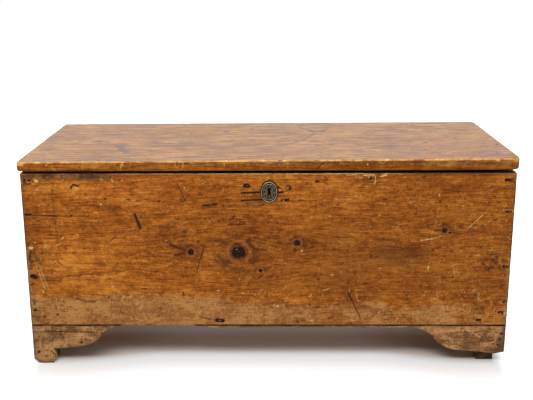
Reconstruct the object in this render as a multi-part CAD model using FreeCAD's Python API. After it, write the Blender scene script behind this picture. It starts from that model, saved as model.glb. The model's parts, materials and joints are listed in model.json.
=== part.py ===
"""Antique pine blanket chest with a hinged lid, a mortised chest lock and a bracket base.

Millimetres. +Z is up, the front faces -Y and +X is to the right of someone who faces the front.
The origin is on the floor under the middle of the lid.
"""
import FreeCAD, Part
import math
import os

from FreeCAD import Placement, Rotation, Vector

# ---------------------------------------------------------------- driving dimensions
CASE_LENGTH = 1140.0  # 45 inches, over the end boards
CASE_DEPTH = 478.0  # over the front and back boards
CASE_HEIGHT = 376.0  # walls alone, without the base
WALL = 22.0  # front, back and end boards, 7/8 inch
BOTTOM_THICKNESS = 22.0
BOTTOM_SEAM = 0.5  # shrinkage gap between the two bottom boards
RIM_ROUND = 1.2  # worn outer arris of the front and back boards

LID_THICKNESS_LEFT = 22.5  # the hand-planed board is thicker at its right end
LID_THICKNESS_RIGHT = 27.5
LID_FRONT_OVERHANG = 5.0
LID_REAR_OVERHANG = 18.0
LID_END_OVERHANG = 8.0
LID_GAP = 4.4  # between rim and lid at the hinges
LID_WIND_LEFT = 1.1  # rise of the twisted lid's front edge, at its left end
LID_WIND_RIGHT = 3.5  # and at its right end
LID_TOP_ROUND = 5.0
LID_UNDER_BEVEL = 2.5
LID_FRONT_LEFT_CORNER = 15.0
LID_FRONT_RIGHT_CORNER = 26.0
LID_REAR_LEFT_CORNER = 9.0
LID_REAR_RIGHT_CORNER = 15.0

BASE_HEIGHT = 99.0
PLINTH_THICKNESS = 22.0
FOOT_WIDTH = 59.0  # side or back face of a bracket foot, from the corner
LEFT_FOOT_WIDTH = 52.0  # front face of the left foot
RIGHT_FOOT_WIDTH = 54.0
PLINTH_STRIP = 5.0  # what is left of the plinth over an arch
FRONT_STRIP_START = 390.0  # the front strip is broken off from the left ogee to here, from the left end
FRONT_STRIP_TAPER = 30.0  # its splintered end
LEFT_SPUR = (62.0, 37.0, 44.0)  # run of the nearly level part, height at the foot and at the ogee
LEFT_OGEE_RUN = 103.0
LEFT_OGEE_END = 1.2  # thin end of the left bracket, where the strip is broken off
RIGHT_SPUR = (55.0, 30.0, 35.0)
RIGHT_OGEE_RUN = 121.0
SIDE_SPUR = (26.0, 37.0, 42.0)
SIDE_OGEE_RUN = 58.0
FOOT_TIP_OUTER = (13.0, 11.0)  # worn corner of a foot, across and up
FOOT_TIP_INNER = (7.0, 8.0)
BROKEN_FOOT_HEIGHT = 28.5  # what is missing of the front right foot
BROKEN_FOOT_DIP = 3.5
BACK_BRACKET_LENGTH = 150.0
BACK_BRACKET_FOOT = 37.0
BACK_BRACKET_TOE = 16.0  # height of the bracket's thin end
FOOT_BLOCK = 40.0
FRONT_LEFT_BLOCK = 27.0  # width of the front left foot block, narrower than the others
GLUE_BLOCK_LENGTH = 75.0
SIDE_BLOCK_LENGTH = 37.5
GLUE_BLOCK_HEIGHT = 50.0
GLUE_BLOCK_DEPTH = 26.0

TILL_LENGTH = 165.0  # from the till's side board to the right end board
TILL_BOARD = 12.0
TILL_TOP_DROP = 36.0  # till's side board, below the rim
TILL_HEIGHT = 139.0
TILL_GROOVE = 6.0  # depth of the grooves that hold the till
TILL_FIT = 0.2  # play of a till board in its groove, at each face

NAIL_HEAD = (6.5, 4.5, 1.6)  # long way, short way, thickness
NAIL_SHANK = (4.2, 2.0, 2.8)  # width at the head, width at the tip, thickness
NAIL_SET = 1.0  # depth of a head below the surface
NAIL_LENGTH = 55.0
PLINTH_NAIL_LENGTH = 44.0
SMALL_NAIL_HEAD = (3.6, 2.6, 1.0)
SMALL_NAIL_SHANK = (2.2, 1.0, 1.6)
SMALL_NAIL_LENGTH = 34.0
LEFT_NAIL_SHARES = (0.05, 0.24, 0.50, 0.61, 0.85)  # of the wall's height, from the rim down
RIGHT_NAIL_SHARES = (0.05, 0.25, 0.60, 0.84, 0.92)
BOTTOM_NAIL_SHARES = (-0.10, 0.06, 0.445)  # of the length, from the middle
END_NAIL_SHARES = (-0.26, 0.26)  # of the depth, from the middle
TILL_NAIL_SHARES = (0.25, 0.50, 0.75)  # of the till's height
LEFT_FOOT_NAIL_HEIGHT = 29.0
BLOCK_NAIL_SHARE = 0.75  # of the glue block's length, from the foot block
BLOCK_NAIL_RISE = 10.5  # nail into a glue block, over the left spur's top
RIGHT_FOOT_NAIL_DROPS = (22.0, 37.0, 51.0)  # below the top of the plinth

KEYHOLE_X = 3.0
KEY_POST_DROP = 38.4  # key post's centre, below the rim
KEYHOLE_RADIUS = 4.95
KEYHOLE_SLOT = 4.8
KEY_REACH = 15.8  # from the key post to the tip of the bit
KEYHOLE_FIT = 0.6  # the hole in the wood is larger all round
LOCK_SHEET = 1.5  # plate of the lock
LOCK_CASE_SHEET = 1.2
LOCK_PLATE_WIDTH = 116.0
LOCK_PLATE_HEIGHT = 74.0
LOCK_SELVEDGE = 14.0
LOCK_CASE_WIDTH = 76.0
LOCK_CASE_HEIGHT = 60.0
LOCK_CASE_DEPTH = 12.0
LOCK_MORTISE_FIT = 0.3
KEY_POST_RADIUS = 1.6
LOCK_NAIL_OFFSETS = ((-51.0, 8.0), (45.0, 3.0))  # of each nail, from the key post
LOCK_NAIL_RADIUS = 1.5
LOCK_NAIL_HEAD_RADIUS = 3.0
LOCK_NAIL_HEAD = 0.8
SELVEDGE_TACK_OFFSET = 52.0
SELVEDGE_TACK_LENGTH = 12.0

STAPLE_SPACING = 32.0
STAPLE_THICKNESS = 3.0
STAPLE_WIDTH = 8.4
STAPLE_DROP = 15.0  # staple's end, below the rim
STAPLE_EYE = (4.0, 6.0)  # width and height
STAPLE_EYE_FLOOR = 2.5
STAPLE_SLOT_FIT = (0.4, 0.6)  # play of a staple in the selvedge, along and across
LINK_PLATE = (92.0, 20.0, 2.0)  # length, width, thickness
LINK_SCREW_OFFSET = 36.0

BOLT_TRAVEL = 8.5
BOLT_BAR = (57.0, 4.0, 8.0)  # length, thickness, height
BOLT_BAR_LEFT = 33.0  # end of the bar, to the left of the key post
BOLT_FINGER = (8.0, 3.2, 5.0)  # length, thickness, height
BOLT_UPRIGHT = 5.0
BOLT_REST_GAP = 1.0  # finger's tip to the staple, unlocked
BOLT_PLAY = 0.3  # bolt to the plate behind it and to its stud
BOLT_BITE = 2.5  # depth to which the key's bit enters the bar
TALON_WIDTH = 8.0
STUD_RADIUS = 2.0
STUD_HEAD_RADIUS = 2.8
STUD_HEAD = 0.9
STUD_OFFSET = 18.0  # to the right of the key post
SPRING_RADIUS = 10.0
SPRING_THICKNESS = 0.8
SPRING_LEG = 6.0
SPRING_OFFSET = 20.0

ESCUTCHEON_WIDTH = 38.0
ESCUTCHEON_HEIGHT = 51.0
ESCUTCHEON_DROP = 6.6  # plate's centre, below the key post
ESCUTCHEON_THICKNESS = 2.4
ESCUTCHEON_FIELD = 1.0  # thickness inside the raised rim
ESCUTCHEON_RIM = 3.4
ESCUTCHEON_TAPER = 0.8
PIN_OFFSET = 17.6  # escutcheon pins, from the plate's centre
PIN_HEAD_RADIUS = 1.7
PIN_HEAD_RISE = 0.9
PIN_RADIUS = 0.9
PIN_SHORT = 0.7  # wood left between a pin's tip and the lock's mortise

HINGE_INSET = 190.0  # middle of a hinge, from the end of the case
HINGE_LENGTH = 75.0
HINGE_LEAF = 22.0  # from the pin's axis to the leaf's front edge
HINGE_SHEET = 2.5
HINGE_LET_IN = 0.5  # depth of a leaf in the wood
HINGE_AXIS_BEHIND = 3.5  # pin's axis, behind the back board
KNUCKLE_RADIUS = 4.0
KNUCKLE_COUNT = 3
KNUCKLE_GAP = 0.3
KNUCKLE_CLEARANCE = 0.4
HINGE_PIN_RADIUS = 2.0
HINGE_PIN_FIT = 0.05  # radial
HINGE_PIN_HEAD = (3.0, 1.0)  # radius and thickness of a peened end
HINGE_POCKET_FIT = 0.2
SCREW_SPACING = 25.0
SCREW_FROM_AXIS = 13.5
SCREW_HEAD_RADIUS = 3.6
SCREW_RADIUS = 2.0
SCREW_TIP_RADIUS = 1.0
SCREW_HEAD_DEPTH = 1.8
SCREW_LENGTH = 17.0
SCREW_SLOT = (0.9, 0.7)  # width and depth
FASTENER_SIDES = 8  # facets round a small screw, pin or round nail

# ---------------------------------------------------------------- derived places
LID_LENGTH = CASE_LENGTH + 2 * LID_END_OVERHANG
LID_DEPTH = CASE_DEPTH + LID_FRONT_OVERHANG + LID_REAR_OVERHANG
END = CASE_LENGTH / 2
INNER_END = END - WALL
FRONT = LID_FRONT_OVERHANG - LID_DEPTH / 2
INNER_FRONT = FRONT + WALL
BACK = FRONT + CASE_DEPTH
INNER_BACK = BACK - WALL
RIM = BASE_HEIGHT + CASE_HEIGHT
FLOOR = BASE_HEIGHT + BOTTOM_THICKNESS
LID_BOTTOM = RIM + LID_GAP
AXIS_Y = BACK + HINGE_AXIS_BEHIND
AXIS_Z = RIM + LID_GAP / 2

TILL_SIDE_X = INNER_END - TILL_LENGTH
TILL_TOP = RIM - TILL_TOP_DROP
TILL_BOTTOM = TILL_TOP - TILL_HEIGHT

KEY_Z = RIM - KEY_POST_DROP
LOCK_FACE = INNER_FRONT - LOCK_SHEET  # front of the lock's plate
LOCK_CASE_FRONT = LOCK_FACE - LOCK_CASE_DEPTH
STAPLE_Y = LOCK_FACE - LOCK_CASE_DEPTH / 2
STAPLE_XS = (KEYHOLE_X - STAPLE_SPACING / 2, KEYHOLE_X + STAPLE_SPACING / 2)
STAPLE_END = RIM - STAPLE_DROP
EYE_BOTTOM = STAPLE_END + STAPLE_EYE_FLOOR
BAR_BOTTOM = KEY_Z + KEY_REACH - BOLT_BITE
BAR_TOP = BAR_BOTTOM + BOLT_BAR[2]
ESCUTCHEON_Z = KEY_Z - ESCUTCHEON_DROP
HINGE_XS = (HINGE_INSET - END, END - HINGE_INSET)

ALONG_X = Vector(1, 0, 0)
ALONG_Y = Vector(0, 1, 0)
UP = Vector(0, 0, 1)
MARGIN = 1.0  # how far a cutting tool runs past the face it opens
PRECISION = 1e-6


# ---------------------------------------------------------------- helpers
def block(x, y, z):
    """Box between three (low, high) pairs."""
    return Part.makeBox(x[1] - x[0], y[1] - y[0], z[1] - z[0], Vector(x[0], y[0], z[0]))


def around(middle, width):
    """The (low, high) pair of a width centred on a middle."""
    return (middle - width / 2, middle + width / 2)


def rod(base, direction, radius, length):
    return Part.makeCylinder(radius, length, base, direction)


def cut(solid, tools):
    return solid.cut(Part.makeCompound(tools)) if tools else solid


def ring_of_points(radius, z):
    """Corners of a regular outline for a small turned fastener."""
    turns = [2 * math.pi * i / FASTENER_SIDES for i in range(FASTENER_SIDES)]
    return [Vector(radius * math.cos(turn), radius * math.sin(turn), z) for turn in turns]


def flat_face(points):
    return Part.Face(Part.makePolygon(points + points[:1]))


def turned(profile):
    """Small fastener along +Z, turned to a profile of (radius, z) pairs and left with flat facets."""
    rings = [ring_of_points(radius, z) for radius, z in profile]
    faces = [flat_face(rings[0]), flat_face(rings[-1])]
    for low, high in zip(rings, rings[1:]):
        for i in range(FASTENER_SIDES):
            faces.append(flat_face([low[i - 1], low[i], high[i], high[i - 1]]))
    solid = Part.Solid(Part.Shell(faces))
    solid.fix(PRECISION, PRECISION, PRECISION)
    return solid


def placed(shape, place, direction):
    """Copy of a shape that was drawn along +Z, moved to a place and turned to a direction."""
    result = shape.copy()
    result.Placement = Placement(place, Rotation(UP, direction))
    return result


def prism(points, direction):
    """Straight extrusion of a closed outline of points."""
    return flat_face(points).extrude(direction)


def save(name, shapes):
    """One node: a solid, or several separate ones."""
    shape = shapes[0] if len(shapes) == 1 else Part.makeCompound(shapes)
    shape.exportStep("parts/" + name + ".step")


def lid_rise(x, y):
    """How far the twisted lid's underside stands above LID_BOTTOM at a point."""
    share = (x + LID_LENGTH / 2) / LID_LENGTH
    front_rise = LID_WIND_LEFT + (LID_WIND_RIGHT - LID_WIND_LEFT) * share
    return front_rise * (AXIS_Y - y) / (AXIS_Y + LID_DEPTH / 2)


def lid_thickness(x):
    share = (x + LID_LENGTH / 2) / LID_LENGTH
    return LID_THICKNESS_LEFT + (LID_THICKNESS_RIGHT - LID_THICKNESS_LEFT) * share


# ---------------------------------------------------------------- nails and screws
def cut_nail(surface, direction, length, head, shank):
    """Cut nail with its head set below the surface, and the tool that makes its hole."""
    outline = [
        Vector(-shank[2] / 2, -shank[0] / 2, head[2]),
        Vector(-shank[2] / 2, shank[0] / 2, head[2]),
        Vector(-shank[2] / 2, shank[1] / 2, length),
        Vector(-shank[2] / 2, -shank[1] / 2, length),
    ]
    shaft = prism(outline, Vector(shank[2], 0, 0))
    cap = block(around(0, head[1]), around(0, head[0]), (0, head[2]))
    nail = cap.fuse(shaft)
    pit = block(around(0, head[1]), around(0, head[0]), (-NAIL_SET - MARGIN, 0))
    hole = nail.fuse(pit)
    place = Placement(surface + direction * NAIL_SET, Rotation(UP, direction))
    nail.Placement = place
    hole.Placement = place
    return nail, hole


def nail_row(places, direction, length=NAIL_LENGTH, head=NAIL_HEAD, shank=NAIL_SHANK):
    """Nails driven the same way at several places, with the tools for their holes."""
    pairs = [cut_nail(place, direction, length, head, shank) for place in places]
    return [pair[0] for pair in pairs], [pair[1] for pair in pairs]


def screw(place, direction):
    """Slotted countersunk wood screw, its head flush with the face at place, and its hole."""
    hole = turned([
        (SCREW_HEAD_RADIUS, 0),
        (SCREW_RADIUS, SCREW_HEAD_DEPTH),
        (SCREW_TIP_RADIUS, SCREW_LENGTH),
    ])
    slot = block(
        around(0, SCREW_SLOT[0]),
        around(0, 2 * (SCREW_HEAD_RADIUS + MARGIN)),
        (-MARGIN, SCREW_SLOT[1]),
    )
    return placed(hole.cut(slot), place, direction), placed(hole, place, direction)


# ---------------------------------------------------------------- keyhole and escutcheon
def keyhole(y, grow):
    """Round hole over a slot with a round end, between two depths."""
    radius = KEYHOLE_RADIUS + grow
    half = KEYHOLE_SLOT / 2 + grow
    slot_end = KEY_Z - KEY_REACH + half - grow
    length = y[1] - y[0]
    hole = rod(Vector(KEYHOLE_X, y[0], KEY_Z), ALONG_Y, radius, length)
    slot = block(around(KEYHOLE_X, 2 * half), y, (slot_end, KEY_Z))
    end = rod(Vector(KEYHOLE_X, y[0], slot_end), ALONG_Y, half, length)
    return hole.fuse([slot, end])


def oval(width, height, y):
    """Upright oval wire around the escutcheon's centre."""
    centre = Vector(KEYHOLE_X, y, ESCUTCHEON_Z)
    top = centre + Vector(0, 0, height / 2)
    side = centre + Vector(width / 2, 0, 0)
    return Part.Wire(Part.Ellipse(top, side, centre).toShape())


def oval_plate(width, height, back_y, front_y, taper):
    """Oval plate whose edge slopes in by the taper towards the front."""
    back = oval(width, height, back_y)
    front = oval(width - 2 * taper, height - 2 * taper, front_y)
    return Part.makeLoft([back, front], True, True)


def make_escutcheon():
    face = FRONT - ESCUTCHEON_THICKNESS
    field = FRONT - ESCUTCHEON_FIELD
    plate = oval_plate(ESCUTCHEON_WIDTH, ESCUTCHEON_HEIGHT, FRONT, face, ESCUTCHEON_TAPER)
    inner = 2 * (ESCUTCHEON_RIM + ESCUTCHEON_TAPER)
    dish = oval_plate(
        ESCUTCHEON_WIDTH - inner,
        ESCUTCHEON_HEIGHT - inner,
        field,
        face - MARGIN,
        -ESCUTCHEON_TAPER,
    )
    plate = cut(plate, [dish, keyhole((face - MARGIN, FRONT + MARGIN), 0)])
    length = ESCUTCHEON_FIELD + LOCK_CASE_FRONT - LOCK_MORTISE_FIT - PIN_SHORT - FRONT
    head = turned([(PIN_HEAD_RADIUS / 2, -PIN_HEAD_RISE), (PIN_HEAD_RADIUS, 0)])
    shaft = turned([(PIN_RADIUS, 0), (PIN_RADIUS, length)])
    pins = []
    holes = []
    for side in (-1, 1):
        seat = Vector(KEYHOLE_X, field, ESCUTCHEON_Z + side * PIN_OFFSET)
        pins.append(placed(shaft.fuse(head), seat, ALONG_Y))
        holes.append(placed(shaft, seat, ALONG_Y))
    return cut(plate, holes), pins, holes


# ---------------------------------------------------------------- lock
def make_lock_plate(nail_holes):
    """Iron plate on the inside of the front board, with a selvedge let into the rim."""
    width = around(KEYHOLE_X, LOCK_PLATE_WIDTH)
    plate = block(width, (LOCK_FACE, INNER_FRONT), (RIM - LOCK_PLATE_HEIGHT, RIM))
    selvedge = block(width, (INNER_FRONT - LOCK_SELVEDGE, INNER_FRONT), (RIM - LOCK_SHEET, RIM))
    slots = [
        block(
            around(x, STAPLE_THICKNESS + 2 * STAPLE_SLOT_FIT[0]),
            around(STAPLE_Y, STAPLE_WIDTH + 2 * STAPLE_SLOT_FIT[1]),
            (RIM - LOCK_SHEET - MARGIN, RIM + MARGIN),
        )
        for x in STAPLE_XS
    ]
    return cut(plate.fuse(selvedge), slots + nail_holes)


def make_lock_case():
    """Shallow sheet box, open towards the plate and under the selvedge."""
    top = RIM - LOCK_SHEET
    outer = block(
        around(KEYHOLE_X, LOCK_CASE_WIDTH),
        (LOCK_CASE_FRONT, LOCK_FACE),
        (top - LOCK_CASE_HEIGHT, top),
    )
    inner = block(
        around(KEYHOLE_X, LOCK_CASE_WIDTH - 2 * LOCK_CASE_SHEET),
        (LOCK_CASE_FRONT + LOCK_CASE_SHEET, LOCK_FACE + MARGIN),
        (top - LOCK_CASE_HEIGHT + LOCK_CASE_SHEET, top + MARGIN),
    )
    return cut(outer, [inner, keyhole((LOCK_CASE_FRONT - MARGIN, LOCK_CASE_FRONT + 2 * MARGIN), 0)])


def make_bolt():
    """Bar with two hooked fingers, a slot for its stud and a talon for the key."""
    back = LOCK_FACE - BOLT_PLAY
    left = KEYHOLE_X - BOLT_BAR_LEFT
    bolt = block((left, left + BOLT_BAR[0]), (back - BOLT_BAR[1], back), (BAR_BOTTOM, BAR_TOP))
    finger_bottom = EYE_BOTTOM + (STAPLE_EYE[1] - BOLT_FINGER[2]) / 2
    finger_z = (finger_bottom, finger_bottom + BOLT_FINGER[2])
    finger_y = around(STAPLE_Y, BOLT_FINGER[1])
    hooks = []
    for x in STAPLE_XS:
        tip = x - STAPLE_THICKNESS / 2 - BOLT_REST_GAP
        root = tip - BOLT_FINGER[0]
        hooks.append(block((root, tip), finger_y, finger_z))
        hooks.append(block((root - BOLT_UPRIGHT, root), (finger_y[0], back), (BAR_BOTTOM, finger_z[1])))
    bolt = bolt.fuse(hooks)
    half = STUD_RADIUS + BOLT_PLAY
    stud_x = KEYHOLE_X + STUD_OFFSET
    stud_z = (BAR_BOTTOM + BAR_TOP) / 2
    reach = (back - BOLT_BAR[1] - MARGIN, back + MARGIN)
    slot = [
        block((stud_x - BOLT_TRAVEL, stud_x), reach, (stud_z - half, stud_z + half)),
        rod(Vector(stud_x, reach[0], stud_z), ALONG_Y, half, reach[1] - reach[0]),
        rod(Vector(stud_x - BOLT_TRAVEL, reach[0], stud_z), ALONG_Y, half, reach[1] - reach[0]),
    ]
    talon = block(around(KEYHOLE_X, TALON_WIDTH), reach, (BAR_BOTTOM - MARGIN, BAR_BOTTOM + BOLT_BITE))
    return cut(bolt, slot + [talon])


def make_lock_stud():
    """Headed stud that carries the bolt's bar."""
    stud_z = (BAR_BOTTOM + BAR_TOP) / 2
    neck = BOLT_PLAY + BOLT_BAR[1] + BOLT_PLAY
    stud = turned([(STUD_RADIUS, 0), (STUD_RADIUS, neck)])
    head = turned([(STUD_HEAD_RADIUS, neck), (STUD_HEAD_RADIUS, neck + STUD_HEAD)])
    return placed(stud.fuse(head), Vector(KEYHOLE_X + STUD_OFFSET, LOCK_FACE, stud_z), -ALONG_Y)


def make_lock_spring():
    """Leaf spring on the plate that presses the bolt's bar up against its stud."""
    outer = SPRING_RADIUS
    inner = outer - SPRING_THICKNESS
    centre = Vector(KEYHOLE_X + SPRING_OFFSET, LOCK_FACE, BAR_BOTTOM - BOLT_PLAY - outer)
    width = BOLT_PLAY + BOLT_BAR[1]
    bend = rod(centre, -ALONG_Y, outer, width).cut(rod(centre, -ALONG_Y, inner, width))
    depth = (LOCK_FACE - width, LOCK_FACE)
    quarter = block((centre.x, centre.x + outer), depth, (centre.z, centre.z + outer))
    leg = block((centre.x + inner, centre.x + outer), depth, (centre.z - SPRING_LEG, centre.z))
    return bend.common(quarter).fuse(leg)


def make_lock_nails():
    """Two nails through plate and board, and two tacks through the selvedge."""
    head = turned([(LOCK_NAIL_HEAD_RADIUS, -LOCK_NAIL_HEAD), (LOCK_NAIL_HEAD_RADIUS, 0)])
    nail = head.fuse(turned([(LOCK_NAIL_RADIUS, 0), (LOCK_NAIL_RADIUS, WALL)]))
    tack = turned([(LOCK_NAIL_RADIUS, 0), (LOCK_NAIL_RADIUS, SELVEDGE_TACK_LENGTH)])
    seats = [Vector(KEYHOLE_X + dx, INNER_FRONT, KEY_Z + dz) for dx, dz in LOCK_NAIL_OFFSETS]
    tops = [Vector(KEYHOLE_X + side * SELVEDGE_TACK_OFFSET, STAPLE_Y, RIM) for side in (-1, 1)]
    nails = [placed(nail, seat, -ALONG_Y) for seat in seats]
    return nails + [placed(tack, top, -UP) for top in tops]


def make_link_plate():
    """Plate under the lid with two eyed staples that drop into the lock."""
    length, width, thickness = LINK_PLATE
    under = LID_BOTTOM + lid_rise(KEYHOLE_X, STAPLE_Y)
    plate = block(around(KEYHOLE_X, length), around(STAPLE_Y, width), (under, under + thickness))
    staples = []
    for x in STAPLE_XS:
        staple = block(around(x, STAPLE_THICKNESS), around(STAPLE_Y, STAPLE_WIDTH), (STAPLE_END, under))
        eye = block(
            around(x, STAPLE_THICKNESS + 2 * MARGIN),
            around(STAPLE_Y, STAPLE_EYE[0]),
            (EYE_BOTTOM, EYE_BOTTOM + STAPLE_EYE[1]),
        )
        staples.append(staple.cut(eye))
    screws = [screw(Vector(KEYHOLE_X + side * LINK_SCREW_OFFSET, STAPLE_Y, under), UP) for side in (-1, 1)]
    solid = cut(plate.fuse(staples), [pair[1] for pair in screws])
    pocket = block(
        around(KEYHOLE_X, length + 2 * HINGE_POCKET_FIT),
        around(STAPLE_Y, width + 2 * HINGE_POCKET_FIT),
        (under - LID_WIND_RIGHT - MARGIN, under + thickness),
    )
    return solid, [pair[0] for pair in screws], [pocket] + [pair[1] for pair in screws]


# ---------------------------------------------------------------- hinges
def make_hinge(x):
    """Butt hinge: case leaf, lid leaf, pin, screws, and the tools for the wood."""
    low = x - HINGE_LENGTH / 2
    span = (HINGE_LENGTH - (KNUCKLE_COUNT - 1) * KNUCKLE_GAP) / KNUCKLE_COUNT
    starts = [low + i * (span + KNUCKLE_GAP) for i in range(KNUCKLE_COUNT)]
    leaf_x = around(x, HINGE_LENGTH)
    leaf_y = (AXIS_Y - HINGE_LEAF, AXIS_Y)
    case_z = (RIM - HINGE_LET_IN, RIM - HINGE_LET_IN + HINGE_SHEET)
    lid_z = (LID_BOTTOM + HINGE_LET_IN - HINGE_SHEET, LID_BOTTOM + HINGE_LET_IN)
    bore = rod(Vector(low - MARGIN, AXIS_Y, AXIS_Z), ALONG_X, HINGE_PIN_RADIUS + HINGE_PIN_FIT,
               HINGE_LENGTH + 2 * MARGIN)

    leaves = []
    for first, z in ((0, case_z), (1, lid_z)):
        knuckles = [rod(Vector(s, AXIS_Y, AXIS_Z), ALONG_X, KNUCKLE_RADIUS, span) for s in starts[first::2]]
        notches = [
            block(
                (s - KNUCKLE_GAP, s + span + KNUCKLE_GAP),
                (AXIS_Y - KNUCKLE_RADIUS - KNUCKLE_CLEARANCE, AXIS_Y + MARGIN),
                (RIM - MARGIN, LID_BOTTOM + MARGIN),
            )
            for s in starts[1 - first::2]
        ]
        plate = cut(block(leaf_x, leaf_y, z), notches)
        leaves.append(plate.fuse(knuckles).cut(bore))

    screw_y = AXIS_Y - SCREW_FROM_AXIS
    screw_xs = [x + i * SCREW_SPACING for i in (-1, 0, 1)]
    case_screws = [screw(Vector(sx, screw_y, case_z[1]), -UP) for sx in screw_xs]
    lid_screws = [screw(Vector(sx, screw_y, lid_z[0]), UP) for sx in screw_xs]

    head_radius, head = HINGE_PIN_HEAD
    ends = (low - HINGE_PIN_FIT, low + HINGE_LENGTH + HINGE_PIN_FIT)
    pin = rod(Vector(ends[0], AXIS_Y, AXIS_Z), ALONG_X, HINGE_PIN_RADIUS, ends[1] - ends[0])
    peened = turned([(head_radius, 0), (head_radius, head)])
    pin = pin.fuse([
        placed(peened, Vector(ends[0], AXIS_Y, AXIS_Z), -ALONG_X),
        placed(peened, Vector(ends[1], AXIS_Y, AXIS_Z), ALONG_X),
    ])

    pocket_x = around(x, HINGE_LENGTH + 2 * HINGE_POCKET_FIT)
    pocket_y = (leaf_y[0] - HINGE_POCKET_FIT, BACK + MARGIN)
    case_pocket = block(pocket_x, pocket_y, (case_z[0], RIM + MARGIN))
    lid_pocket = block(pocket_x, (pocket_y[0], AXIS_Y), (LID_BOTTOM - MARGIN, lid_z[1]))
    barrel_room = rod(
        Vector(ends[0] - 2 * head, AXIS_Y, AXIS_Z),
        ALONG_X,
        KNUCKLE_RADIUS + KNUCKLE_CLEARANCE,
        ends[1] - ends[0] + 4 * head,
    )
    return {
        "case_leaf": cut(leaves[0], [pair[1] for pair in case_screws]),
        "lid_leaf": cut(leaves[1], [pair[1] for pair in lid_screws]),
        "pin": pin,
        "case_screws": [pair[0] for pair in case_screws],
        "lid_screws": [pair[0] for pair in lid_screws],
        "case_tools": [case_pocket] + [pair[1] for pair in case_screws],
        "lid_tools": [lid_pocket, barrel_room] + [pair[1] for pair in lid_screws],
    }


# ---------------------------------------------------------------- bracket base
def ogee(start, end):
    """S-curve of two equal arcs that leaves and arrives level, as two edges."""
    run = end.x - start.x
    rise = end.y - start.y
    radius = (run * run + rise * rise) / (4 * abs(rise))
    middle = (start + end) / 2
    low_centre = start + Vector(0, radius, 0)
    high_centre = end - Vector(0, radius, 0)
    low_mid = low_centre + ((start - low_centre) + (middle - low_centre)).normalize() * radius
    high_mid = high_centre + ((middle - high_centre) + (end - high_centre)).normalize() * radius
    return [
        Part.Arc(start, low_mid, middle).toShape(),
        Part.Arc(middle, high_mid, end).toShape(),
    ]


def half_bracket(foot, spur, ogee_run, strip, broken):
    """Edges of one bracket, from the top outer corner (0, height) down and in to the arch.

    Drawn in a plane whose x runs inwards from the outer end and whose y is the height. strip is what the ogee
    leaves standing under the board's top edge.
    """
    spur_run, spur_start, spur_top = spur
    spur_end = Vector(foot + spur_run, spur_top, 0)
    arch = Vector(foot + spur_run + ogee_run, BASE_HEIGHT - strip, 0)
    if broken:
        points = [
            Vector(0, BASE_HEIGHT, 0),
            Vector(0, BROKEN_FOOT_HEIGHT + BROKEN_FOOT_DIP / 2, 0),
            Vector(foot / 2, BROKEN_FOOT_HEIGHT - BROKEN_FOOT_DIP, 0),
            Vector(foot, spur_start, 0),
            spur_end,
        ]
    else:
        points = [
            Vector(0, BASE_HEIGHT, 0),
            Vector(0, FOOT_TIP_OUTER[1], 0),
            Vector(FOOT_TIP_OUTER[0], 0, 0),
            Vector(foot - FOOT_TIP_INNER[0], 0, 0),
            Vector(foot, FOOT_TIP_INNER[1], 0),
            Vector(foot, spur_start, 0),
            spur_end,
        ]
    edges = [Part.makeLine(a, b) for a, b in zip(points, points[1:])]
    return edges + ogee(spur_end, arch), arch


def far_bracket(length, bracket):
    """half_bracket() turned round to the other end of a board."""
    edges, arch = half_bracket(*bracket)
    flipped = [edge.mirror(Vector(length / 2, 0, 0), ALONG_X) for edge in edges]
    return flipped, Vector(length - arch.x, arch.y, 0)


def upright_board(edges, lines, thickness):
    """Board whose outline in the x-z plane is some edges closed by straight lines, its back at y = thickness."""
    closing = [Part.makeLine(a, b) for points in lines for a, b in zip(points, points[1:])]
    wire = Part.Wire(Part.__sortEdges__(edges + closing))
    board = Part.Face(wire).extrude(Vector(0, 0, -thickness))
    board.rotate(Vector(0, 0, 0), ALONG_X, 90)
    return board


def make_front_plinth():
    """Two brackets, of which the right one keeps most of the strip over the arch."""
    left_edges, left_arch = half_bracket(LEFT_FOOT_WIDTH, LEFT_SPUR, LEFT_OGEE_RUN, LEFT_OGEE_END, False)
    broken = (RIGHT_FOOT_WIDTH, RIGHT_SPUR, RIGHT_OGEE_RUN, PLINTH_STRIP, True)
    right_edges, right_arch = far_bracket(CASE_LENGTH, broken)
    end = (left_arch, Vector(left_arch.x, BASE_HEIGHT, 0), Vector(0, BASE_HEIGHT, 0))
    left = upright_board(left_edges, [end], PLINTH_THICKNESS)
    strip = (
        right_arch,
        Vector(FRONT_STRIP_START + FRONT_STRIP_TAPER, right_arch.y, 0),
        Vector(FRONT_STRIP_START, BASE_HEIGHT, 0),
        Vector(CASE_LENGTH, BASE_HEIGHT, 0),
    )
    right = upright_board(right_edges, [strip], PLINTH_THICKNESS)
    for board in (left, right):
        board.translate(Vector(-END, FRONT, 0))
    return [left, right]


def make_side_plinth(side):
    """Side board behind the front plinth, side -1 for left and 1 for right."""
    front_foot = FOOT_WIDTH - PLINTH_THICKNESS
    length = CASE_DEPTH - PLINTH_THICKNESS
    front_edges, front_arch = half_bracket(front_foot, SIDE_SPUR, SIDE_OGEE_RUN, PLINTH_STRIP, side > 0)
    back_edges, back_arch = far_bracket(length, (FOOT_WIDTH, SIDE_SPUR, SIDE_OGEE_RUN, PLINTH_STRIP, False))
    top = (Vector(length, BASE_HEIGHT, 0), Vector(0, BASE_HEIGHT, 0))
    board = upright_board(front_edges + back_edges, [(front_arch, back_arch), top], PLINTH_THICKNESS)
    board.rotate(Vector(0, 0, 0), UP, 90)
    edge = -END + PLINTH_THICKNESS if side < 0 else END
    board.translate(Vector(edge, FRONT + PLINTH_THICKNESS, 0))
    return board


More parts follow.
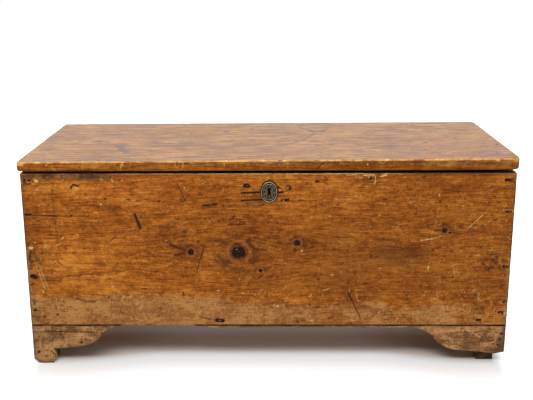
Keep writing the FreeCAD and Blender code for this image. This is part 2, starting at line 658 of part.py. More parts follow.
def make_back_bracket(side):
    """Plain tapered bracket between the side plinth and the open back."""
    start = side * (END - PLINTH_THICKNESS)
    inward = -side
    y = BACK - PLINTH_THICKNESS
    points = [
        Vector(start, y, BASE_HEIGHT),
        Vector(start, y, 0),
        Vector(start + inward * BACK_BRACKET_FOOT, y, 0),
        Vector(start + inward * BACK_BRACKET_LENGTH, y, BASE_HEIGHT - BACK_BRACKET_TOE),
        Vector(start + inward * BACK_BRACKET_LENGTH, y, BASE_HEIGHT),
    ]
    return prism(points, Vector(0, PLINTH_THICKNESS, 0))


def make_foot_block(side, front):
    x = END - PLINTH_THICKNESS
    width = FRONT_LEFT_BLOCK if side < 0 and front else FOOT_BLOCK
    xs = (-x, -x + width) if side < 0 else (x - width, x)
    if front:
        ys = (FRONT + PLINTH_THICKNESS, FRONT + PLINTH_THICKNESS + FOOT_BLOCK)
    else:
        ys = (BACK - PLINTH_THICKNESS - FOOT_BLOCK, BACK - PLINTH_THICKNESS)
    return block(xs, ys, (0, BASE_HEIGHT))


def make_glue_blocks():
    """Blocks in the upper corner behind the front and side brackets."""
    inner = END - PLINTH_THICKNESS
    z = (BASE_HEIGHT - GLUE_BLOCK_HEIGHT, BASE_HEIGHT)
    blocks = []
    for side in (-1, 1):
        start = side * (inner - FOOT_BLOCK)
        xs = sorted((start, start - side * GLUE_BLOCK_LENGTH))
        face = FRONT + PLINTH_THICKNESS
        blocks.append(block(xs, (face, face + GLUE_BLOCK_DEPTH), z))
        side_xs = sorted((side * inner, side * (inner - GLUE_BLOCK_DEPTH)))
        front_y = face + FOOT_BLOCK
        back_y = BACK - PLINTH_THICKNESS - FOOT_BLOCK
        blocks.append(block(side_xs, (front_y, front_y + SIDE_BLOCK_LENGTH), z))
        blocks.append(block(side_xs, (back_y - SIDE_BLOCK_LENGTH, back_y), z))
    return blocks


# ---------------------------------------------------------------- lid
def lid_slab():
    """Board in wind with square edges: its front edge rises towards the right end."""
    sections = []
    for x in around(0, LID_LENGTH):
        points = []
        for across, up in ((-1, 0), (1, 0), (1, 1), (-1, 1)):
            y = across * LID_DEPTH / 2
            z = LID_BOTTOM + up * lid_thickness(x) + lid_rise(x, y)
            points.append(Vector(x, y, z))
        sections.append(Part.makePolygon(points + points[:1]))
    return Part.makeLoft(sections, True, True)


def lid_upright(lid, end, side):
    """The lid's corner edge at its left or right end (-1 or 1), at the front or the back (-1 or 1)."""
    corner = Vector(end * LID_LENGTH / 2, side * LID_DEPTH / 2, 0)
    found = []
    for edge in lid.Edges:
        room = edge.BoundBox
        away = math.hypot(room.Center.x - corner.x, room.Center.y - corner.y)
        if room.ZLength > LID_THICKNESS_LEFT / 2 and away < MARGIN:
            found.append(edge)
    return found


def lid_rims(lid, top):
    """The edges all round the lid's top, or all round its underside."""
    middle = LID_BOTTOM + LID_THICKNESS_LEFT / 2
    level = [e for e in lid.Edges if e.BoundBox.ZLength < LID_THICKNESS_LEFT / 2]
    return [e for e in level if (e.BoundBox.ZMin > middle) == top]


def make_lid(tools):
    lid = lid_slab()
    lid = lid.makeFillet(LID_FRONT_LEFT_CORNER, lid_upright(lid, -1, -1))
    lid = lid.makeFillet(LID_FRONT_RIGHT_CORNER, lid_upright(lid, 1, -1))
    lid = lid.makeFillet(LID_REAR_LEFT_CORNER, lid_upright(lid, -1, 1))
    lid = lid.makeFillet(LID_REAR_RIGHT_CORNER, lid_upright(lid, 1, 1))
    lid = lid.makeFillet(LID_TOP_ROUND, lid_rims(lid, True))
    lid = lid.makeChamfer(LID_UNDER_BEVEL, lid_rims(lid, False))
    return cut(lid, tools)


# ---------------------------------------------------------------- assembly
def corner_nails(y, direction):
    """Nails at both ends of the front or the back board."""
    places = []
    for side, shares in ((-1, LEFT_NAIL_SHARES), (1, RIGHT_NAIL_SHARES)):
        x = side * (END - WALL / 2)
        places += [Vector(x, y, RIM - share * CASE_HEIGHT) for share in shares]
    return nail_row(places, direction)


def bottom_nails(y, direction):
    z = BASE_HEIGHT + BOTTOM_THICKNESS / 2
    return nail_row([Vector(share * CASE_LENGTH, y, z) for share in BOTTOM_NAIL_SHARES], direction)


def end_nails(side):
    z = BASE_HEIGHT + BOTTOM_THICKNESS / 2
    places = [Vector(side * END, share * CASE_DEPTH, z) for share in END_NAIL_SHARES]
    return nail_row(places, Vector(-side, 0, 0))


def till_nails(y, direction):
    x = TILL_SIDE_X + TILL_BOARD / 2
    places = [Vector(x, y, TILL_BOTTOM + share * TILL_HEIGHT) for share in TILL_NAIL_SHARES]
    return nail_row(places, direction, SMALL_NAIL_LENGTH, SMALL_NAIL_HEAD, SMALL_NAIL_SHANK)


def plinth_nails():
    x = END - PLINTH_THICKNESS / 2
    block_x = END - PLINTH_THICKNESS - FOOT_BLOCK - BLOCK_NAIL_SHARE * GLUE_BLOCK_LENGTH
    places = [
        Vector(-x, FRONT, LEFT_FOOT_NAIL_HEIGHT),
        Vector(-block_x, FRONT, LEFT_SPUR[2] + BLOCK_NAIL_RISE),
    ]
    places += [Vector(x, FRONT, BASE_HEIGHT - drop) for drop in RIGHT_FOOT_NAIL_DROPS]
    return nail_row(places, ALONG_Y, PLINTH_NAIL_LENGTH)


def till_boards():
    """Side and bottom of the open till, let into the walls."""
    groove = TILL_GROOVE - TILL_FIT
    depth = (INNER_FRONT - groove, INNER_BACK + groove)
    side = block((TILL_SIDE_X, TILL_SIDE_X + TILL_BOARD), depth, (TILL_BOTTOM, TILL_TOP))
    bottom_z = (TILL_BOTTOM, TILL_BOTTOM + TILL_BOARD)
    bottom = block((TILL_SIDE_X + TILL_BOARD, INNER_END + groove), depth, bottom_z)
    return side, bottom


def till_grooves():
    """Tools for the grooves that the till's boards slide down into."""
    wide = TILL_BOARD + 2 * TILL_FIT
    depth = (INNER_FRONT - TILL_GROOVE, INNER_BACK + TILL_GROOVE)
    side_x = around(TILL_SIDE_X + TILL_BOARD / 2, wide)
    side = block(side_x, depth, (TILL_BOTTOM - TILL_FIT, TILL_TOP + TILL_FIT))
    bottom_z = around(TILL_BOTTOM + TILL_BOARD / 2, wide)
    bottom = block((TILL_SIDE_X, INNER_END + TILL_GROOVE), depth, bottom_z)
    return [side, bottom]


def lock_recess():
    """Tools for the lock's mortise and for its plate and selvedge."""
    fit = LOCK_MORTISE_FIT
    top = RIM + MARGIN
    mortise = block(
        around(KEYHOLE_X, LOCK_CASE_WIDTH + 2 * fit),
        (LOCK_CASE_FRONT - fit, INNER_FRONT + MARGIN),
        (RIM - LOCK_SHEET - LOCK_CASE_HEIGHT - fit, top),
    )
    width = around(KEYHOLE_X, LOCK_PLATE_WIDTH + 2 * fit)
    plate = block(width, (LOCK_FACE, INNER_FRONT + MARGIN), (RIM - LOCK_PLATE_HEIGHT - fit, top))
    selvedge = block(
        width,
        (INNER_FRONT - LOCK_SELVEDGE - fit, INNER_FRONT + MARGIN),
        (RIM - LOCK_SHEET, top),
    )
    return [mortise, plate, selvedge]


def wall(y, outer_y, tools):
    """Front or back board, with its outer top arris worn round."""
    board = block((-END, END), y, (BASE_HEIGHT, RIM))
    arris = [
        e
        for e in board.Edges
        if e.BoundBox.XLength > CASE_LENGTH / 2 and e.BoundBox.ZMin > RIM - MARGIN
        and abs(e.BoundBox.Center.y - outer_y) < MARGIN
    ]
    board = board.makeFillet(RIM_ROUND, arris)
    return cut(board, tools)


def build():
    escutcheon, escutcheon_pins, pin_holes = make_escutcheon()
    lock_nails = make_lock_nails()
    link_plate, link_screws, link_tools = make_link_plate()
    hinges = [make_hinge(x) for x in HINGE_XS]
    front_nails, front_holes = corner_nails(FRONT, ALONG_Y)
    back_nails, back_holes = corner_nails(BACK, -ALONG_Y)
    front_low, front_low_holes = bottom_nails(FRONT, ALONG_Y)
    back_low, back_low_holes = bottom_nails(BACK, -ALONG_Y)
    left_low, left_low_holes = end_nails(-1)
    right_low, right_low_holes = end_nails(1)
    till_front, till_front_holes = till_nails(FRONT, ALONG_Y)
    till_back, till_back_holes = till_nails(BACK, -ALONG_Y)
    base_nails, base_holes = plinth_nails()
    grooves = till_grooves()
    low_holes = front_low_holes + back_low_holes + left_low_holes + right_low_holes

    hole = keyhole((FRONT - MARGIN, LOCK_CASE_FRONT + MARGIN), KEYHOLE_FIT)
    front_tools = front_holes + front_low_holes + till_front_holes + grooves
    front_tools += lock_recess() + lock_nails + pin_holes + [hole]
    save("front_board", [wall((FRONT, INNER_FRONT), FRONT, front_tools)])
    back_tools = back_holes + back_low_holes + till_back_holes + grooves
    back_tools += hinges[0]["case_tools"] + hinges[1]["case_tools"]
    save("back_board", [wall((INNER_BACK, BACK), BACK, back_tools)])

    end_y = (INNER_FRONT, INNER_BACK)
    left = block((-END, -INNER_END), end_y, (BASE_HEIGHT, RIM))
    right = block((INNER_END, END), end_y, (BASE_HEIGHT, RIM))
    save("left_end_board", [cut(left, front_holes + back_holes + left_low_holes)])
    save("right_end_board", [cut(right, front_holes + back_holes + right_low_holes + grooves)])

    seam = (INNER_FRONT + INNER_BACK) / 2
    bottom_x = (-INNER_END, INNER_END)
    bottom_z = (BASE_HEIGHT, FLOOR)
    bottom_front = block(bottom_x, (INNER_FRONT, seam - BOTTOM_SEAM / 2), bottom_z)
    bottom_back = block(bottom_x, (seam + BOTTOM_SEAM / 2, INNER_BACK), bottom_z)
    save("bottom_front_board", [cut(bottom_front, low_holes)])
    save("bottom_back_board", [cut(bottom_back, low_holes)])

    till_side, till_bottom = till_boards()
    save("till_side_board", [cut(till_side, till_front_holes + till_back_holes)])
    save("till_bottom_board", [till_bottom])

    save("front_plinth", [cut(board, base_holes) for board in make_front_plinth()])
    save("left_plinth", [cut(make_side_plinth(-1), base_holes)])
    save("right_plinth", [cut(make_side_plinth(1), base_holes)])
    save("back_left_bracket", [make_back_bracket(-1)])
    save("back_right_bracket", [make_back_bracket(1)])
    for side, side_name in ((-1, "left"), (1, "right")):
        for front, end_name in ((True, "front"), (False, "back")):
            save(end_name + "_" + side_name + "_foot_block", [make_foot_block(side, front)])
    save("plinth_glue_blocks", [cut(piece, base_holes) for piece in make_glue_blocks()])

    save("front_corner_nails", front_nails)
    save("back_corner_nails", back_nails)
    save("bottom_nails", front_low + back_low + left_low + right_low)
    save("till_nails", till_front + till_back)
    save("plinth_nails", base_nails)

    save("lock_plate", [make_lock_plate(lock_nails)])
    save("lock_case", [make_lock_case()])
    key_place = Vector(KEYHOLE_X, LOCK_FACE, KEY_Z)
    save("lock_key_post", [rod(key_place, -ALONG_Y, KEY_POST_RADIUS, LOCK_CASE_DEPTH)])
    save("lock_bolt", [make_bolt()])
    save("lock_bolt_stud", [make_lock_stud()])
    save("lock_spring", [make_lock_spring()])
    save("lock_nails", lock_nails)
    save("escutcheon", [escutcheon])
    save("escutcheon_pins", escutcheon_pins)

    for name, hinge in zip(("left", "right"), hinges):
        save(name + "_hinge_case_leaf", [hinge["case_leaf"]])
        save(name + "_hinge_lid_leaf", [hinge["lid_leaf"]])
        save(name + "_hinge_pin", [hinge["pin"]])
    save("hinge_case_screws", hinges[0]["case_screws"] + hinges[1]["case_screws"])
    save("hinge_lid_screws", hinges[0]["lid_screws"] + hinges[1]["lid_screws"])

    save("lid_board", [make_lid(link_tools + hinges[0]["lid_tools"] + hinges[1]["lid_tools"])])
    save("lock_link_plate", [link_plate])
    save("link_plate_screws", link_screws)


os.makedirs("parts", exist_ok=True)
build()
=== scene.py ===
"""Looks of the antique pine blanket chest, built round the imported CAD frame. Metres, +Z up, front at -Y."""
import functools
import json
import math

import bmesh
import bpy
import numpy as np
from mathutils import Matrix, Vector


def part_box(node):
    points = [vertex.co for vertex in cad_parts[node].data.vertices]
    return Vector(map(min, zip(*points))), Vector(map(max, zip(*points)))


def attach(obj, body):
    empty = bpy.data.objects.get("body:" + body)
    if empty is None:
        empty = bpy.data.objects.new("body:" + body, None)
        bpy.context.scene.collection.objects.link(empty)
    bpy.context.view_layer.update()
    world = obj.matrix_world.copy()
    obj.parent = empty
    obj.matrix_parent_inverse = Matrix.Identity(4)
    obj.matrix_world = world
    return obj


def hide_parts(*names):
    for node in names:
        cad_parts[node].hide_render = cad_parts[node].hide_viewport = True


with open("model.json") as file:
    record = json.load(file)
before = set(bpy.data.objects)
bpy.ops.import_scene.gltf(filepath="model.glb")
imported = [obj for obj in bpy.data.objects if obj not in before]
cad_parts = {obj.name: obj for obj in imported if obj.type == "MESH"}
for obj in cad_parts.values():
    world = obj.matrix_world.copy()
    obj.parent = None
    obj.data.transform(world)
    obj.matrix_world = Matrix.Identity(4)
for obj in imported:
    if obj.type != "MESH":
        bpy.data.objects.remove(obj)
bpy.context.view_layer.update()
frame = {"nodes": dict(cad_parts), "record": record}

MM = 0.001
SKIN = 0.00025  # how far a dressed face lies under the CAD face
OUTSIDE = 0.0005  # how far a dressing block runs past the CAD faces it doesn't dress
QUICK_COARSER = 1.0

# ---- places read from the frame, mm
front_low, front_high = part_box("front_board")
lid_low, lid_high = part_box("lid_board")
FRONT = front_low.y / MM
END = front_high.x / MM
RIM = front_high.z / MM
BASE = front_low.z / MM
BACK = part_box("back_board")[1].y / MM
WALL = (front_high.y - front_low.y) / MM  # thickness of the boards


# ---- random fields
def field(u, v, size, seed):
    """Smooth random value from -1 to 1 over a plane, with hills about as wide as size."""
    table = np.random.default_rng(seed).uniform(-1.0, 1.0, (256, 256))
    a = np.asarray(u) / size + 1024.0
    b = np.asarray(v) / size + 1024.0
    i = np.floor(a).astype(int)
    j = np.floor(b).astype(int)
    fa = a - i
    fb = b - j
    fa = fa * fa * (3.0 - 2.0 * fa)
    fb = fb * fb * (3.0 - 2.0 * fb)
    i0, i1, j0, j1 = i & 255, (i + 1) & 255, j & 255, (j + 1) & 255
    low = table[i0, j0] * (1 - fa) + table[i1, j0] * fa
    high = table[i0, j1] * (1 - fa) + table[i1, j1] * fa
    return low * (1 - fb) + high * fb


def rough_field(u, v, size, seed):
    """Random value with smaller hills on the larger ones."""
    return sum(field(u, v, size / 2 ** k, seed + k) / 2 ** k for k in range(3)) / 1.6


def step_up(value, low, high):
    """0 below low, 1 above high, smooth between; the other way round if low is above high."""
    t = np.clip((value - low) / (high - low), 0.0, 1.0)
    return t * t * (3.0 - 2.0 * t)


def highest(*values):
    """The largest of several values at each place."""
    return functools.reduce(np.maximum, values)


# ---- marks on a face
NARROWEST = 1.7  # mm, half the width of the thinnest mark that the dressed mesh can hold
PRESS = 0.8  # share of a mark's depth that goes into the board
RAGGED = 0.18  # how far the border of a plain mark wanders, as a share of its half width


class Mark:
    """A dent, stain, nail or scratch: a rounded stroke on a face, in millimetres and degrees."""

    def __init__(self, u, v, length, width, turn=0.0, depth=0.0, dark=0.0, pale=0.0, ragged=RAGGED, seed=0):
        self.u, self.v, self.length, self.width, self.turn = u, v, length, width, turn
        self.depth, self.dark, self.pale, self.ragged, self.seed = depth, dark, pale, ragged, seed

    def cover(self, u, v):
        """1 in the middle of the stroke and 0 outside it, at places in millimetres."""
        c, s = math.cos(math.radians(self.turn)), math.sin(math.radians(self.turn))
        du, dv = u - self.u, v - self.v
        along = du * c + dv * s
        across = dv * c - du * s
        straight = max(self.length - self.width, 0.0) / 2
        half = max(self.width / 2, NARROWEST)
        reach = np.hypot(np.maximum(np.abs(along) - straight, 0.0), across) / half
        reach = reach + self.ragged * field(u, v, 3.0 + self.width / 3, 700 + self.seed)
        return step_up(reach, 1.25, 0.45)


def stroke(u0, v0, u1, v1, width, **looks):
    """Mark from one point to another."""
    length = math.hypot(u1 - u0, v1 - v0) + width
    turn = math.degrees(math.atan2(v1 - v0, u1 - u0))
    return Mark((u0 + u1) / 2, (v0 + v1) / 2, length, width, turn, **looks)


def dent(u, v, length, width, depth, dark, ragged=RAGGED, turn=0.0):
    return Mark(u, v, length, width, turn, depth=depth, dark=dark, ragged=ragged)


def chip(u, v, length, width, depth, pale, ragged=RAGGED, turn=0.0):
    return Mark(u, v, length, width, turn, depth=depth, pale=pale, ragged=ragged)


def cut(u0, v0, u1, v1, width, depth, dark, ragged=RAGGED):
    return stroke(u0, v0, u1, v1, width, depth=depth, dark=dark, ragged=ragged)


def scratch(u0, v0, u1, v1, width, depth, pale, ragged=RAGGED):
    return stroke(u0, v0, u1, v1, width, depth=depth, pale=pale, ragged=ragged)


def lay_marks(marks, u, v):
    """Depth, darkness and paleness of all the marks at places in millimetres."""
    depth = np.zeros_like(u)
    dark = np.zeros_like(u)
    pale = np.zeros_like(u)
    for mark in marks:
        reach = mark.length / 2 + mark.width
        near = np.flatnonzero((np.abs(u - mark.u) < reach) & (np.abs(v - mark.v) < reach))
        if not len(near):
            continue
        cover = mark.cover(u[near], v[near])
        depth[near] = np.maximum(depth[near], cover * mark.depth)
        dark[near] = np.maximum(dark[near], cover * mark.dark)
        dark[near] *= 1.0 - cover * min(mark.pale * 1.2, 1.0)
        pale[near] = np.maximum(pale[near] * (1.0 - cover * min(mark.dark, 1.0)), cover * mark.pale)
    return depth, dark, pale


def scattered(count, u_range, v_range, seed, big=1.0, pale_share=0.28):
    """Small random dents and specks of long use."""
    rng = np.random.default_rng(seed)
    marks = []
    for i in range(count):
        u, v = rng.uniform(*u_range), rng.uniform(*v_range)
        width = rng.uniform(2.0, 4.0) * big
        length = width * rng.choice([1.0, 1.4, 2.5, 5.0], p=[0.45, 0.25, 0.2, 0.1])
        turn = rng.normal(0, 25) if rng.random() < 0.6 else rng.uniform(0, 180)
        strength = rng.uniform(0.25, 0.75) ** 1.2
        if rng.random() < pale_share:
            marks.append(Mark(u, v, length, width * 0.8, turn, depth=0.15, pale=strength, seed=i))
        else:
            marks.append(Mark(u, v, length, width, turn, depth=strength * 0.7, dark=strength, seed=i))
    return marks


def rubbed(count, u_range, v_range, seed, turn=90.0, spread=18.0, length=16.0, strength=0.35):
    """Light scratches, most of them near one direction."""
    rng = np.random.default_rng(seed)
    marks = []
    for i in range(count):
        u, v = rng.uniform(*u_range), rng.uniform(*v_range)
        size = length * rng.uniform(0.4, 1.6)
        pale = strength * rng.uniform(0.5, 1.3)
        width = rng.uniform(1.6, 3.0)
        marks.append(Mark(u, v, size, width, rng.normal(turn, spread), depth=0.15, pale=pale, seed=i))
    return marks


def from_rows(rows):
    """Marks from rows of a function and what it is given."""
    return [mark for make, *given in rows for mark in make(*given)]


def arc_marks(u, v, radii, start, end, **looks):
    """Strokes along circles round a point, between two angles in degrees."""
    marks = []
    for radius in radii:
        angles = [math.radians(start + (end - start) * k / 4) for k in range(5)]
        points = [(u + radius * math.cos(a), v + 0.8 * radius * math.sin(a)) for a in angles]
        marks += [stroke(*one, *two, **looks) for one, two in zip(points, points[1:])]
    return marks


# dent and chip take a middle, length, width, depth, strength, raggedness and turn;
# cut and scratch take two ends, width, depth, strength and raggedness
FRONT_MARKS = [
    # nails and stains at the left end
    dent(-560, 457, 9, 8, 1, 0.95, 0.4), dent(-550, 458, 8, 7, 1, 0.92, 0.4),
    dent(-541, 456, 7, 6, 0.6, 0.85, 0.4), chip(-533, 457, 11, 7, 0.4, 0.85, 0.4),
    chip(-555, 463, 16, 4, 0.3, 0.5, 0.4), dent(-556, 450, 22, 4, 0.4, 0.6, 0.4),
    dent(-552, 467, 34, 12, 0.3, 0.38, 0.5), dent(-512, 467, 14, 5, 0.6, 0.7, 0.35),
    chip(-508, 466, 8, 4, 0.4, 0.75), dent(-558, 376, 18, 6.5, 1.2, 0.95, 0.4),
    cut(-552, 375, -490, 373, 2.4, 0.6, 0.75), cut(-500, 373.5, -414, 373, 1.6, 0.3, 0.5),
    dent(-457, 373, 7, 5.5, 0.6, 0.85), chip(-557, 295, 14, 9, 0.9, 0.85, 0.3),
    dent(-561, 274, 7, 5.5, 1.2, 0.95), chip(-554, 269, 10, 3, 0.3, 0.5),
    dent(-557, 224, 22, 13, 1.3, 0.97, 0.3, -12), dent(-559, 137, 10, 6.5, 0.8, 0.85, 0.4),
    dent(-505, 127, 9, 7, 0.4, 0.6, 0.3), dent(-560, 163, 8, 12, 0.3, 0.45, 0.35),
    # right end
    dent(556, 458, 27, 8, 1.8, 0.97, 0.3), chip(562, 458, 14, 3.6, 0.8, 0.75),
    dent(556, 382, 17, 5.5, 1, 0.9, 0.4), chip(566, 382, 6, 3, 0.8, 0.4),
    dent(559, 248, 16, 8, 1, 0.95, 0.3, -10), dent(560, 159, 8, 6.5, 0.9, 0.95),
    chip(566, 167, 5, 4, 0.4, 0.8), dent(555, 134, 15, 7.5, 1, 0.9, 0.4), chip(566, 130, 8, 9, 0.7, 0.85),
    # bottom edge
    dent(-115, 112, 25, 11.5, 0.9, 0.9, 0.35), chip(-117, 112, 5, 4, 0.2, 0.7),
    dent(70, 108, 9, 6, 0.8, 0.75), dent(503, 113, 15, 8, 1, 0.93),
    cut(-163, 120, -138, 114, 1.8, 0.3, 0.55),
    # clinched lock nails and cracks beside the keyhole plate
    dent(-49, 445, 19, 12, 0.7, 0.95, 0.3), chip(-47, 445, 5, 4, 0.2, 0.35),
    dent(48, 440, 14, 14, 0.7, 0.95), chip(46.5, 440.5, 8.5, 8.5, 0.3, 0.72),
    dent(48.5, 440, 4.5, 4.5, 0.6, 0.98), cut(-60, 428, -18, 429, 5.2, 1.2, 0.99, 0.1),
    cut(-62, 410, -14, 411.5, 4.6, 1.2, 0.99, 0.1), cut(24, 429, 35, 429.5, 5, 1.2, 0.99),
    cut(32, 410, 47, 411, 6.5, 0.9, 0.95, 0.3), chip(36, 410, 6, 4, 0.2, 0.7),
    cut(70, 410, 82, 411, 3.8, 0.5, 0.75), cut(21, 443, 29, 439, 4.4, 0.8, 0.95),
    chip(27, 434, 5, 4, 0.2, 0.6), cut(18, 423, 26, 419, 3, 0.4, 0.7),
    # gouges, dashes and scratches, from left to right
    cut(-455, 440, -448, 449, 4.2, 0.9, 0.95), cut(-448, 449, -437, 444, 4.2, 0.9, 0.95),
    chip(-441, 441, 11, 4, 0.3, 0.75, turn=-30), chip(-465, 434, 4, 5, 0.3, 0.65),
    cut(-310, 377, -303, 358, 7, 1.8, 0.8, 0.1), cut(-304, 360, -298, 343, 9, 2, 0.76, 0.1),
    scratch(-299, 372, -292, 347, 2.5, 0, 0.25), cut(-151, 397.5, -118, 401, 4.4, 0.8, 0.9),
    cut(190, 183, 221, 116, 3.4, 0.9, 0.7, 0.1), cut(190, 183, 199, 163, 4.6, 0.9, 0.82),
    cut(-457, 168, -436, 161, 3.2, 0.6, 0.75), cut(-436, 161, -412, 160, 2.8, 0.5, 0.65),
    dent(-294, 192, 14, 3.4, 0.5, 0.8), dent(-202, 180, 9, 4, 0.7, 0.88, turn=80),
    cut(-209, 452, -192, 411, 1.8, 0.3, 0.6), cut(-180, 426, -192, 411, 1.6, 0.3, 0.5),
    dent(-196, 408, 13, 5, 0.3, 0.6, turn=8), cut(-94, 352, -52, 353, 2.2, 0.4, 0.72),
    cut(-154, 289, -168, 237, 2, 0.4, 0.66), cut(-150, 295, -156, 269, 1.6, 0.3, 0.5),
    scratch(-549, 258, -531, 192, 1.8, 0.3, 0.55), scratch(-541, 253, -525, 197, 1.6, 0.3, 0.5),
    cut(-498, 263, -486, 252, 2.4, 0.4, 0.75), scratch(-500, 301, -488, 303, 3, 0.3, 0.5),
    cut(-476, 225, -415, 230, 1.6, 0.2, 0.6), cut(-414, 230, -300, 243, 1.3, 0.2, 0.42),
    cut(-373, 309, -355, 325, 2, 0.3, 0.55), cut(-240, 399, -150, 417, 1.6, 0.2, 0.38),
    scratch(464, 342, 499, 376, 1.8, 0.2, 0.55), scratch(511, 357, 520, 364, 1.6, 0.2, 0.5),
    scratch(357, 313, 383, 317, 2.4, 0.2, 0.7), scratch(383, 317, 408, 325, 2, 0.2, 0.5),
    scratch(155, 413, 189, 413, 1.8, 0.2, 0.5), scratch(437, 253, 441, 218, 1.5, 0.2, 0.45),
    chip(395, 423, 4.5, 5, 0.3, 1), chip(377, 246, 10, 4, 0.3, 1, turn=88), chip(79, 288, 5, 5, 0.3, 1),
    chip(-387, 401, 4.5, 5, 0.3, 1), dent(-394, 395, 9, 5, 0.5, 0.75, turn=-20),
    chip(22, 148, 9, 6, 0.3, 0.85, turn=-20), chip(41, 198, 4, 5, 0.2, 0.7),
    # small dark dents
    dent(-376, 414, 8, 5, 0.6, 0.8, turn=-30), dent(-323, 412, 12, 3.5, 0.4, 0.7, turn=-8),
    dent(-300, 409, 12, 3, 0.4, 0.65, turn=-5), dent(-252, 408, 8, 5, 0.5, 0.82, turn=10),
    dent(-146, 366, 8, 6.5, 0.4, 0.5), dent(-115, 361, 9, 6, 0.4, 0.6, turn=-20),
    dent(-80, 370, 12, 6, 0.4, 0.68, turn=30), dent(113, 455, 13, 9, 0.4, 0.72),
    dent(131, 460, 16, 8, 0.3, 0.42, 0.4), dent(134, 450, 12, 7, 0.3, 0.36, 0.4),
    dent(140, 399, 5, 4, 0.4, 0.65), dent(169, 430, 12, 5, 0.3, 0.35, turn=60),
    dent(205, 229, 6, 4, 0.4, 0.75), dent(189, 207, 9, 6, 0.4, 0.65, turn=35),
    dent(228, 204, 6, 5, 0.4, 0.7), dent(498, 142, 6, 5, 0.4, 0.8), dent(486, 137, 5, 4, 0.4, 0.8),
    dent(506, 195, 7, 4, 0.4, 0.6), dent(410, 417, 5, 4, 0.4, 0.7), dent(-497, 434, 7, 5, 0.4, 0.5),
    dent(-509, 401, 6, 5, 0.4, 0.62), dent(-380, 171, 7, 7, 0.4, 0.6),
    chip(-385, 181, 6, 3, 0.2, 0.5, turn=60), dent(-258, 143, 8, 8, 0.3, 0.5),
    dent(430, 288, 7, 7, 0.5, 0.62), dent(398, 295, 16, 4, 0.3, 0.55, turn=20),
    # line of small nails and scores where the till's side board meets the front
    dent(397, 407, 5.5, 5.5, 0.6, 0.85), dent(394, 388, 3.4, 3.4, 0.4, 0.7),
    scratch(396, 399, 388, 343, 1.8, 0.3, 0.3), dent(385, 369, 3, 4, 0.3, 0.6),
    chip(384, 334, 4, 4.5, 0.4, 0.55), scratch(382, 333, 378, 247, 1.5, 0.2, 0.3),
    dent(379, 300, 4, 5, 0.4, 0.55), dent(380, 285, 4, 5, 0.4, 0.55),
    # the rim, chewed on the right of the middle
    chip(192, 471, 24, 5, 1.4, 0.5, 0.5, 2), chip(232, 470, 28, 6, 1.6, 0.5, 0.55, -2),
    chip(222, 469, 7, 4, 0.4, 1, 0.4), scratch(247, 467, 245, 449, 1.6, 0.2, 0.6),
    chip(264, 468, 17, 4, 1, 0.95, 0.5, 14), chip(208, 464, 18, 4, 0.8, 0.5, 0.5, -4),
    dent(236, 463, 9, 6, 0.8, 0.85, turn=50), dent(222, 466, 6, 4, 0.8, 0.7),
    chip(556, 471, 22, 5, 0.8, 0.34, 0.4),
    # scuffs above the plinth
    chip(-346, 171, 16, 9, 0.3, 0.42, 0.4, 60), chip(-328, 173, 12, 8, 0.3, 0.35, 0.4, 20),
    chip(-300, 174, 9, 5, 0.2, 0.4, 0.35),
]
PLATE_LOW, PLATE_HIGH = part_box("escutcheon")


def plate_ring():
    """Dark ring in the corner between the keyhole plate and the board, darkest at the upper right."""
    u, half_u = (PLATE_LOW.x + PLATE_HIGH.x) / 2 / MM, (PLATE_HIGH.x - PLATE_LOW.x) / 2 / MM + 0.8
    v, half_v = (PLATE_LOW.z + PLATE_HIGH.z) / 2 / MM, (PLATE_HIGH.z - PLATE_LOW.z) / 2 / MM + 0.8
    turns = [math.radians(15 * k) for k in range(25)]
    points = [(u + half_u * math.cos(a), v + half_v * math.sin(a)) for a in turns]
    return [stroke(*one, *two, 4.6, dark=0.72 + 0.25 * math.sin(0.5 + turn), ragged=0.35)
            for one, two, turn in zip(points, points[1:], turns)]


FRONT_KNOTS = [
    # x, z, half width, half height, pull on the grain around it (mm)
    (-69, 284, 16.5, 14.5, 36),
    (-181, 285, 6.5, 6.5, 22),
    (68, 307, 7, 6, 22),
    (-18, 239, 4, 4, 13),
    (411, 338, 5.5, 5.5, 16),
    (424, 332, 3, 2.5, 8),
]
KNOT_FIGURE = [
    # dark figure of the grain beside the knots
    cut(-228, 302, -194, 289, 9, 0, 0.64), cut(-219, 276, -197, 283, 7, 0, 0.64),
    cut(-191, 303, -186, 296, 5, 0, 0.62), dent(-195, 335, 7, 15, 0, 0.52, turn=20),
    dent(-163, 330, 18, 4, 0, 0.35, turn=10), dent(-72, 304, 24, 10, 0, 0.6),
    dent(-110, 311, 36, 15, 0, 0.42, 0.4, -20), dent(-140, 314, 26, 9, 0, 0.36, 0.4, -8),
    cut(-46, 313, -32, 291, 13, 0, 0.55, 0.5), cut(-32, 291, -6, 290, 8, 0, 0.5, 0.5),
    dent(-96, 256, 30, 17, 0, 0.36, 0.5, 30), dent(-34, 266, 13, 24, 0, 0.38, 0.4, 20),
    dent(-60, 262, 20, 8, 0, 0.34, 0.4), cut(42, 304, 62, 306, 6, 0, 0.46), dent(63, 289, 7, 12, 0, 0.6),
    dent(88, 300, 16, 12, 0, 0.48, 0.5), dent(56, 316, 8, 5, 0, 0.45), cut(-36, 222, -27, 217, 4, 0, 0.66),
    cut(-27, 217, -14, 226, 4, 0, 0.66), dent(-30, 208, 16, 5, 0, 0.3),
    cut(388, 338, 405, 338, 4.5, 0, 0.64), dent(440, 331, 20, 4, 0, 0.4, turn=-6),
    chip(412, 340, 3, 3, 0, 0.8),
] + arc_marks(-69, 284, (31, 38, 45, 52, 59), 186, 232, width=3.2, dark=0.50)


